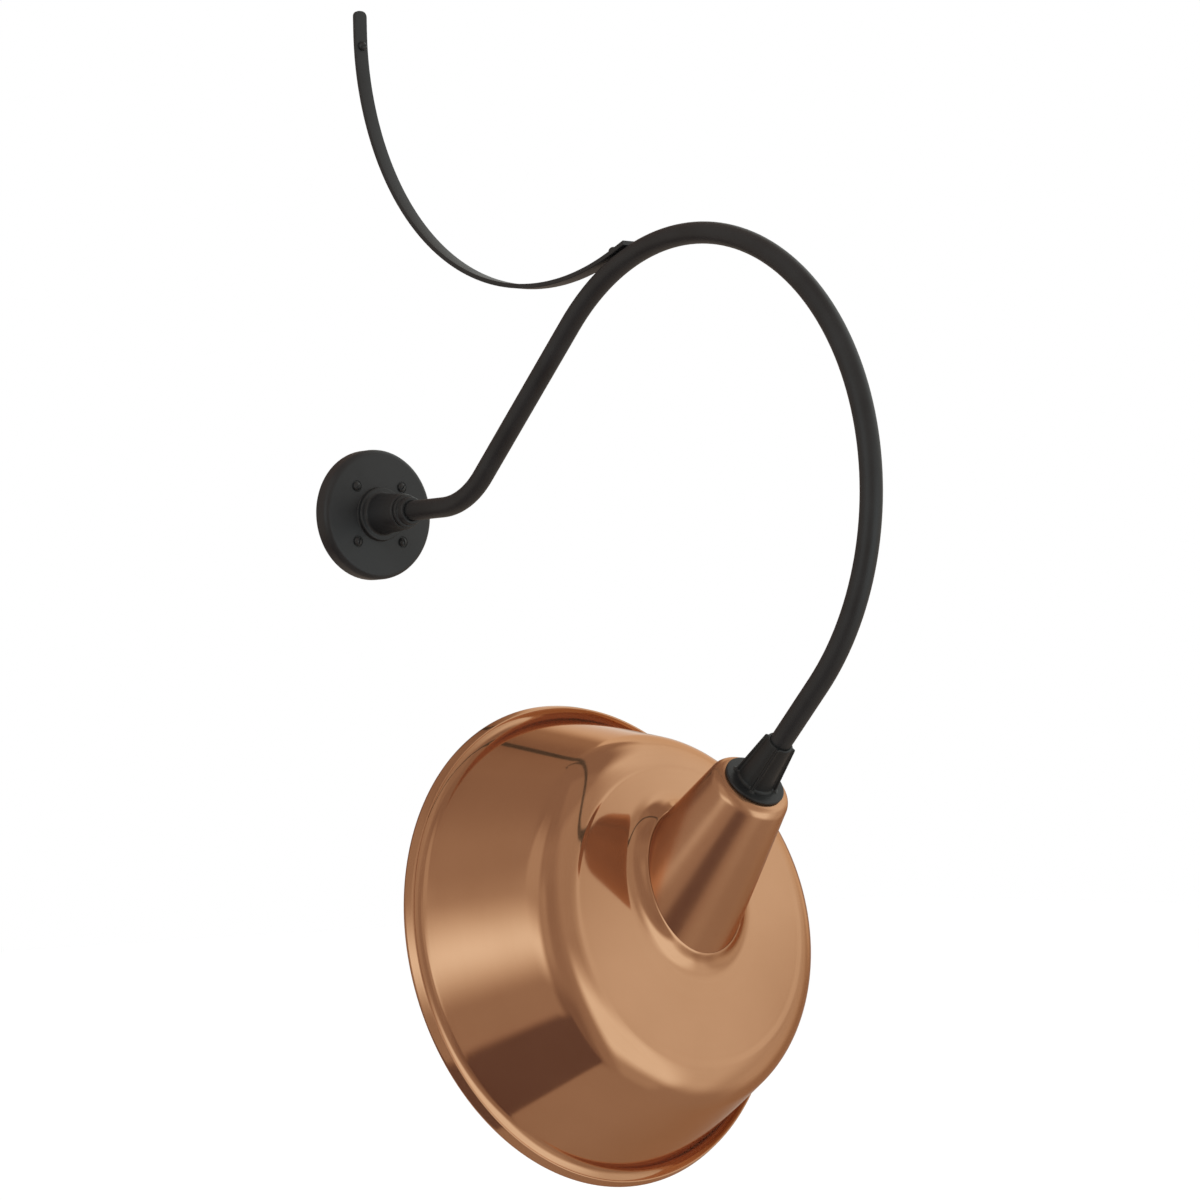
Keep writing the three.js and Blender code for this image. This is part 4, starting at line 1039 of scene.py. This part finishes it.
# For each body, its pieces with the node that each one replaces and its slot
bodies = {
    "wall_assembly": [
        (backplate(), "backplate", "black_coat"),
        (wall_gasket(), "wall_gasket", "foam"),
        (arm_collar(), "arm_collar", "black_coat"),
        (gooseneck_arm(), "gooseneck_arm", "black_coat"),
        (support_strap(), "support_strap", "black_coat"),
        (shade_hub(), "shade_hub", "black_coat"),
        *(plate_screw(i, x, y) for i, (x, y) in enumerate(PLATE_SCREW_PLACES, 1)),
        (
            round_screw("slotted_wall_screw", STRAP_FIXING, wall_seat, WALL @ at(0, STRAP_SCREW, wall_seat), 22.5),
            "strap_wall_screw", "fasteners",
        ),
        (
            round_screw("slotted_arm_screw", STRAP_FIXING, arm_seat - BORE_RADIUS * 0.9, strap_arm_place(arm_seat)),
            "strap_arm_screw", "fasteners",
        ),
        (
            set_screw("collar_grub_screw", PIPE_FIT, COLLAR_NOSE_RADIUS + CLEAR, COLLAR_SCREW),
            "collar_set_screw", "fasteners",
        ),
        (set_screw("hub_grub_screw", PIPE_FIT, hub_core, HUB_SCREW), "hub_set_screw", "fasteners"),
        (lock_nut(), "neck_lock_nut", "steel"),
        (holder_stem(), "holder_stem", "steel"),
        (holder_cap(), "holder_cap", "brass"),
        (holder_body(), "holder_body", "porcelain"),
        (holder_shell(), "holder_shell", "brass"),
        (holder_contact(), "holder_contact", "brass"),
        terminal_screw("a", -1, "brass"),
        terminal_screw("b", 1, "steel"),
        (arm_lead("line_wire", -1), "line_lead", "lead_black"),
        (arm_lead("neutral_wire", 1), "neutral_lead", "lead_white"),
        (ground_lead(), "ground_lead", "lead_green"),
        (
            round_screw(
                "slotted_ground_screw", SMALL_SCREW, 3, WALL @ at(0, -GROUND_PLACE, GROUND_SEAT) @ turn(180, "X"), 40,
            ),
            "ground_screw", "lead_green",
        ),
    ],
    "shade_assembly": [(shade(), "shade", "copper"), (neck(), "neck", "copper")],
    "lamp_tip": [(lamp_contact(), "lamp_contact", "brass")],
    "lamp": [(lamp_base(), "lamp_base", "steel"), (lamp_globe(), "lamp_globe", "frosted_glass")],
}
for body, rows in bodies.items():
    for piece, node, slot in rows:
        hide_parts(node)
        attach(piece, body)


# Materials

class Nodes:
    """The nodes of one tree. Each input takes a value or another node's output."""

    def __init__(self, tree):
        self.tree = tree

    def join(self, socket, value):
        if isinstance(value, bpy.types.NodeSocket):
            self.tree.links.new(value, socket)
        else:
            socket.default_value = (*value, 1) if socket.type == "RGBA" else value

    def grow(self, kind, inputs=None, **settings):
        """The outputs of a new node with its settings and inputs."""
        node = self.tree.nodes.new("ShaderNode" + kind)
        for key, value in settings.items():
            setattr(node, key, value)
        for key, value in (inputs or {}).items():
            self.join(node.inputs[key], value)
        return node.outputs

    def maths(self, operation, a, b=0.0):
        return self.grow("Math", {0: a, 1: b}, operation=operation)[0]

    def times(self, a, b):
        return self.maths("MULTIPLY", a, b)

    def plus(self, a, b):
        return self.maths("ADD", a, b)

    def ranged(self, value, low, high, to_low=0.0, to_high=1.0, kind="LINEAR"):
        """value from low..high to to_low..to_high, clamped."""
        return self.grow("MapRange", {
            "Value": value, "From Min": low, "From Max": high, "To Min": to_low, "To Max": to_high,
        }, interpolation_type=kind)["Result"]

    def step(self, value, low, high, to_low=0.0, to_high=1.0):
        return self.ranged(value, low, high, to_low, to_high, "SMOOTHSTEP")

    def spanned(self, value, to_low=0.0, to_high=1.0):
        """The range that noise mostly keeps to, to to_low..to_high."""
        return self.ranged(value, 0.3, 0.7, to_low, to_high)

    def mixed(self, share, a, b):
        return self.grow("Mix", {0: share, 6: a, 7: b}, data_type="RGBA")[2]

    def between(self, share, a, b):
        return self.grow("Mix", {0: share, 2: a, 3: b}, data_type="FLOAT")[0]

    def own_place(self):
        """The point in its piece's own frame, in metres."""
        return self.grow("Attribute", attribute_name="own")["Vector"]

    def noise(self, scale, detail=3.0, roughness=0.5, vector=None):
        """Noise by the piece's own place, or by another vector."""
        return self.grow("TexNoise", {
            "Vector": vector or self.own_place(), "Scale": scale, "Detail": detail, "Roughness": roughness,
        })["Fac"]

    def worn(self, colour, amount, bare, low=0.53, high=0.66):
        """The colour, with an amount of the bare one on worn outer edges."""
        edge = self.ranged(self.grow("NewGeometry")["Pointiness"], low, high)
        return self.mixed(self.times(edge, amount), colour, bare)

    def surface(self, colour, rough, height, distance, strength):
        """What a shader takes. height is the relief, distance its depth in metres."""
        normal = self.grow("Bump", {"Height": height, "Distance": distance, "Strength": strength})["Normal"]
        return {"Base Color": colour, "Roughness": rough, "Normal": normal}


def shade_material(name, paint, **plain):
    m = bpy.data.materials.new(name)
    m.use_nodes = True
    n = Nodes(m.node_tree)
    shader = m.node_tree.nodes["Principled BSDF"]
    for key, value in {**plain, **paint(n)}.items():
        n.join(shader.inputs[key], value)
    return m


def spun(n):
    """Noise that is the same all the way round the piece's axis, as a spinning tool leaves it."""
    parts = n.grow("SeparateXYZ", {0: n.own_place()})
    across = n.maths("SQRT", n.plus(n.times(parts["X"], parts["X"]), n.times(parts["Y"], parts["Y"])))
    return n.noise(620.0, 4.0, 0.6, n.grow("CombineXYZ", {"X": across, "Y": parts["Z"]})[0])


def paint_copper(low, high):
    def paint(n):
        lines = spun(n)
        smudge = n.noise(38.0, 5.0, 0.6)
        colour = n.mixed(n.spanned(n.noise(9.0)), (0.53, 0.284, 0.158), (0.58, 0.318, 0.182))
        colour = n.mixed(n.ranged(lines, 0.35, 0.8, 0.0, 0.22), colour, (0.63, 0.37, 0.23))
        colour = n.worn(colour, 0.5, (0.72, 0.46, 0.31), 0.52, 0.62)
        rough = n.plus(n.ranged(smudge, 0.3, 0.75, low, high), n.ranged(lines, 0.3, 0.8, 0.0, 0.03))
        return n.surface(colour, rough, lines, 0.00001, 0.35)
    return paint


def paint_coat(share):
    def paint(n):
        grain = n.noise(1500.0, 3.0, 0.6)
        clouds = n.noise(22.0)
        wear = n.times(n.ranged(n.noise(160.0, 4.0), 0.35, 0.65), 0.45)
        colour = n.mixed(n.spanned(clouds), (0.0125, 0.013, 0.0137), (0.0185, 0.019, 0.0198))
        # Where share is below 1, the colour is mixed toward a near-black green by the rest: painted shade on an
        # otherwise alike coat.
        colour = n.mixed(share, (0.004, 0.0055, 0.0055), n.worn(colour, wear, (0.075, 0.077, 0.08)))
        rough = n.plus(n.spanned(clouds, 0.4, 0.47), n.spanned(grain, -0.03, 0.04))
        return n.surface(colour, rough, grain, 0.00006, 0.5)
    return paint


def paint_metal(dark, light, low, high):
    def paint(n):
        clouds = n.noise(60.0, 4.0)
        bright = tuple(min(1, 1.35 * c) for c in light)
        colour = n.worn(n.mixed(n.spanned(clouds), dark, light), 0.5, bright)
        return n.surface(colour, n.spanned(clouds, low, high), n.noise(900.0), 0.00002, 0.4)
    return paint


def paint_porcelain(n):
    glaze = n.noise(70.0, 2.0)
    speck = n.times(n.ranged(n.noise(900.0, 2.0), 0.7, 0.78), 0.5)
    colour = n.mixed(n.spanned(glaze), (0.74, 0.715, 0.665), (0.8, 0.785, 0.745))
    colour = n.worn(n.mixed(speck, colour, (0.45, 0.4, 0.33)), 0.3, (0.87, 0.86, 0.83))
    return n.surface(colour, n.spanned(glaze, 0.13, 0.22), glaze, 0.0002, 0.3)


def paint_glass(n):
    frost = n.noise(1800.0, 2.0)
    colour = n.mixed(n.spanned(n.noise(30.0, 2.0)), (0.84, 0.825, 0.785), (0.88, 0.872, 0.84))
    colour = n.worn(colour, 0.2, (0.92, 0.92, 0.9))
    return n.surface(colour, n.spanned(frost, 0.33, 0.42), frost, 0.00003, 0.4)


def paint_foam(n):
    cells = n.grow("TexVoronoi", {"Vector": n.own_place(), "Scale": 1400.0})["Distance"]
    colour = n.mixed(n.ranged(cells, 0.1, 0.6), (0.006, 0.006, 0.006), (0.022, 0.022, 0.023))
    return n.surface(colour, n.spanned(n.noise(60.0), 0.86, 0.95), cells, 0.0002, 0.6)


def paint_lead(dark, light):
    def paint(n):
        clouds = n.noise(90.0)
        bright = tuple(min(1, c * 1.2) for c in light)
        colour = n.worn(n.mixed(n.spanned(clouds), dark, light), 0.2, bright)
        return n.surface(colour, n.spanned(clouds, 0.38, 0.5), n.noise(1600.0, 2.0), 0.00002, 0.3)
    return paint


def specular(level):
    return {"Specular IOR Level": level}


COPPER = {"Metallic": 0.9, "Specular Tint": (0.82, 0.6, 0.46)}
STEEL = paint_metal((0.42, 0.43, 0.45), (0.55, 0.56, 0.57), 0.24, 0.36)
BRASS = paint_metal((0.5, 0.35, 0.13), (0.62, 0.45, 0.19), 0.22, 0.34)
GLASS = {"Transmission Weight": 0.25, "Subsurface Weight": 0.15}
# By slot, or by name for a piece that differs from the rest of its slot
looks = {
    "black_coat": shade_material("powder_coat", paint_coat(1.0), **specular(0.42)),
    # The hub's coat is the arm's coat mixed toward a darker green-black: painted shade that keeps the hub darker than
    # the arm.
    "hub_casting": shade_material("hub_coat_painted_shade", paint_coat(0.55), **specular(0.42)),
    "fasteners": shade_material("coated_screw", paint_coat(1.0), **specular(0.5)),
    "copper": shade_material("spun_copper", paint_copper(0.05, 0.08), **COPPER),
    "copper_neck": shade_material("spun_copper_neck", paint_copper(0.19, 0.24), **COPPER),
    "steel": shade_material("zinc_steel", STEEL, Metallic=1.0),
    "brass": shade_material("brass", BRASS, Metallic=1.0),
    "porcelain": shade_material("glazed_porcelain", paint_porcelain, **{"Coat Weight": 0.4}),
    "frosted_glass": shade_material("frosted_glass", paint_glass, **GLASS),
    "foam": shade_material("closed_foam", paint_foam, **specular(0.2)),
    "lead_black": shade_material("lead_black", paint_lead((0.012, 0.012, 0.013), (0.02, 0.02, 0.022))),
    "lead_white": shade_material("lead_white", paint_lead((0.68, 0.67, 0.63), (0.77, 0.76, 0.73))),
    "lead_green": shade_material("lead_green", paint_lead((0.022, 0.15, 0.05), (0.035, 0.2, 0.07))),
}


def dress(piece, slot):
    """Gives the piece its look, and each of its points its place in the piece's own frame."""
    mesh = piece.data
    own = mesh.attributes.new("own", "FLOAT_VECTOR", "POINT")
    back_to_own = own_frames[piece.name].inverted()
    for i, v in enumerate(mesh.vertices):
        own.data[i].vector = back_to_own @ v.co
    mesh.materials.clear()
    mesh.materials.append(looks.get(piece.name, looks[slot]))
    for face in mesh.polygons:
        face.material_index = 0


for rows in bodies.values():
    for piece, _, slot in rows:
        dress(piece, slot)


# Camera, at the photograph's place

CAMERA_PLACE = (-2.265689, -3.176066, -0.250514)
CAMERA_LENS = 108.694
azimuth, elevation, roll = -39.11896 * RAD, -2.25652 * RAD, -1.38518 * RAD

camera_data = bpy.data.cameras.new("camera")
camera_data.sensor_width = 36
camera_data.lens = CAMERA_LENS
camera_data.clip_end = 100
camera = new_object("camera", camera_data)
back = Vector((sin(azimuth) * cos(elevation), -cos(azimuth) * cos(elevation), sin(elevation)))
right = Vector((0, 0, 1)).cross(back).normalized()
up = back.cross(right)
right_rolled = right * cos(roll) + up * sin(roll)
up_rolled = up * cos(roll) - right * sin(roll)
camera_turn = Matrix((right_rolled, up_rolled, back)).transposed().to_4x4()
camera.matrix_world = Matrix.Translation(CAMERA_PLACE) @ camera_turn
bpy.context.scene.camera = camera


# Floor, white to the camera and with the object's shadow

FLOOR_HALF_WIDTH = 15000
FLOOR_DEPTH = 1350
FLOOR_GLOW = 0.36

bm = bmesh.new()
bmesh.ops.create_grid(bm, x_segments=12, y_segments=12, size=FLOOR_HALF_WIDTH)
floor = new_piece("floor", bm, at(0, 0, -FLOOR_DEPTH))
floor.visible_glossy = False


def floor_material():
    m = bpy.data.materials.new("pale_floor")
    m.use_nodes = True
    n = Nodes(m.node_tree)
    m.node_tree.nodes.remove(m.node_tree.nodes["Principled BSDF"])
    tone = n.spanned(n.noise(3.0, vector=n.grow("TexCoord")["Object"]), 0.80, 0.82)
    grey = n.grow("CombineColor", {0: tone, 1: tone, 2: tone})[0]
    glow = n.times(n.grow("LightPath")["Is Camera Ray"], FLOOR_GLOW)
    total = n.grow("AddShader", {
        0: n.grow("BsdfDiffuse", {"Color": grey})[0],
        1: n.grow("Emission", {"Color": (1, 1, 1), "Strength": glow})[0],
    })[0]
    n.join(m.node_tree.nodes["Material Output"].inputs["Surface"], total)
    return m


floor.data.materials.append(floor_material())


# Studio: a white room to the camera, with soft light and dark fields for the metal to show

STUDIO_LEVEL = 0.37
DARK_SHEET_LEVEL = 0.078
SOFT_LIGHT = (0.8, 0.8, 0.8)
# Each field: from and to azimuth with its softness, from and to elevation with its softness, level
STUDIO_FIELDS = [
    (-180, -150, 12, 2, 50, 12, 0.141),
    (-180, 180, 1, 55, 95, 10, 0.25),
    (-14, 42, 8, 10, 58, 10, 0.46),
    (-25, 45, 8, 58, 88, 8, 0.32),
    (-62, -22, 8, -30, 45, 15, 0.31),
    (-60, -45, 6, -5, 35, 8, 0.486),
    (-100, -62, 6, 12, 60, 12, 0.55),
    (-104, -64, 7, -10, 14, 12, 1.397),
    (-64, -30, 8, -64, -18, 8, 0.19),
    (-30, -12, 8, -64, -38, 8, 0.34),
    (-12, 30, 8, -64, -42, 8, 0.51),
    (25, 60, 12, -40, 20, 12, 0.874),
    (60, 88, 10, -34, 10, 10, 0.652),
    (-10, 37, 7, -40, 5, 10, 1.352),
    (45, 112, 12, 8, 58, 8, 1.041),
    (108, 143, 2, 8, 48, 3, 1.008),
    (94, 112, 6, 0, 24, 6, 0.952),
    (150, 180, 6, 2, 50, 12, 0.141),
]


def dark_sheet(n, parts):
    """1 where the direction meets a sheet that lies on the floor, left of the fixture, and 0 elsewhere."""
    down = n.maths("MAXIMUM", n.times(parts["Z"], -1.0), 0.01)
    x = n.maths("DIVIDE", parts["X"], down)
    y = n.maths("DIVIDE", parts["Y"], down)
    right = n.step(x, -0.35, -0.31, 1.0, 0.0)
    left = n.step(x, -1.36, -1.12)
    front = n.step(n.maths("SUBTRACT", y, n.times(x, 0.65)), -0.27, -0.17)
    below = n.ranged(parts["Z"], -0.1, -0.02, 1.0, 0.0)
    return n.times(n.times(right, left), n.times(front, below))


def studio(n):
    n.tree.nodes.clear()
    parts = n.grow("SeparateXYZ", {0: n.grow("TexCoord")["Generated"]})
    around = n.times(n.maths("ARCTAN2", parts["X"], n.times(parts["Y"], -1.0)), 1 / RAD)
    height = n.times(n.maths("ARCSINE", parts["Z"]), 1 / RAD)

    def window(value, low, high, soft):
        return n.times(n.step(value, low - soft, low + soft), n.step(value, high - soft, high + soft, 1.0, 0.0))

    def light(colour):
        return n.grow("Background", {"Color": colour, "Strength": 1.0})[0]

    level = STUDIO_LEVEL
    for a0, a1, soft_a, e0, e1, soft_e, amount in STUDIO_FIELDS:
        mask = n.times(window(around, a0, a1, soft_a), window(height, e0, e1, soft_e))
        level = n.between(mask, level, amount)
    level = n.between(dark_sheet(n, parts), level, DARK_SHEET_LEVEL)
    red = n.times(n.maths("POWER", level, 0.79), 0.977)
    green = n.maths("POWER", level, 1.035)
    blue = n.plus(n.times(n.maths("POWER", level, 1.25), 0.93), 0.025)
    metal_sees = light(n.grow("CombineColor", {0: red, 1: green, 2: blue})[0])
    path = n.grow("LightPath")
    seen = n.grow("MixShader", {0: path["Is Diffuse Ray"], 1: metal_sees, 2: light(SOFT_LIGHT)})[0]
    bare = n.maths("MAXIMUM", path["Is Camera Ray"], path["Is Transmission Ray"])
    total = n.grow("MixShader", {0: bare, 1: seen, 2: light((1, 1, 1))})[0]
    n.grow("OutputWorld", {"Surface": total})


world = bpy.data.worlds.new("studio")
bpy.context.scene.world = world
world.use_nodes = True
studio(Nodes(world.node_tree))

KEY_PLACE = (-1.9, -2.6, 2.6)
KEY_TARGET = (0, -0.35, -0.2)
KEY_SIZE = 1.8
KEY_ENERGY = 60

key_data = bpy.data.lights.new("key", "AREA")
key_data.shape = "DISK"
key_data.size = KEY_SIZE
key_data.energy = KEY_ENERGY
key = new_object("key", key_data)
key.location = KEY_PLACE
key.rotation_mode = "QUATERNION"
key.rotation_quaternion = (Vector(KEY_TARGET) - key.location).to_track_quat("-Z", "Y")
key.visible_glossy = False

bpy.context.scene.view_settings.view_transform = "Standard"
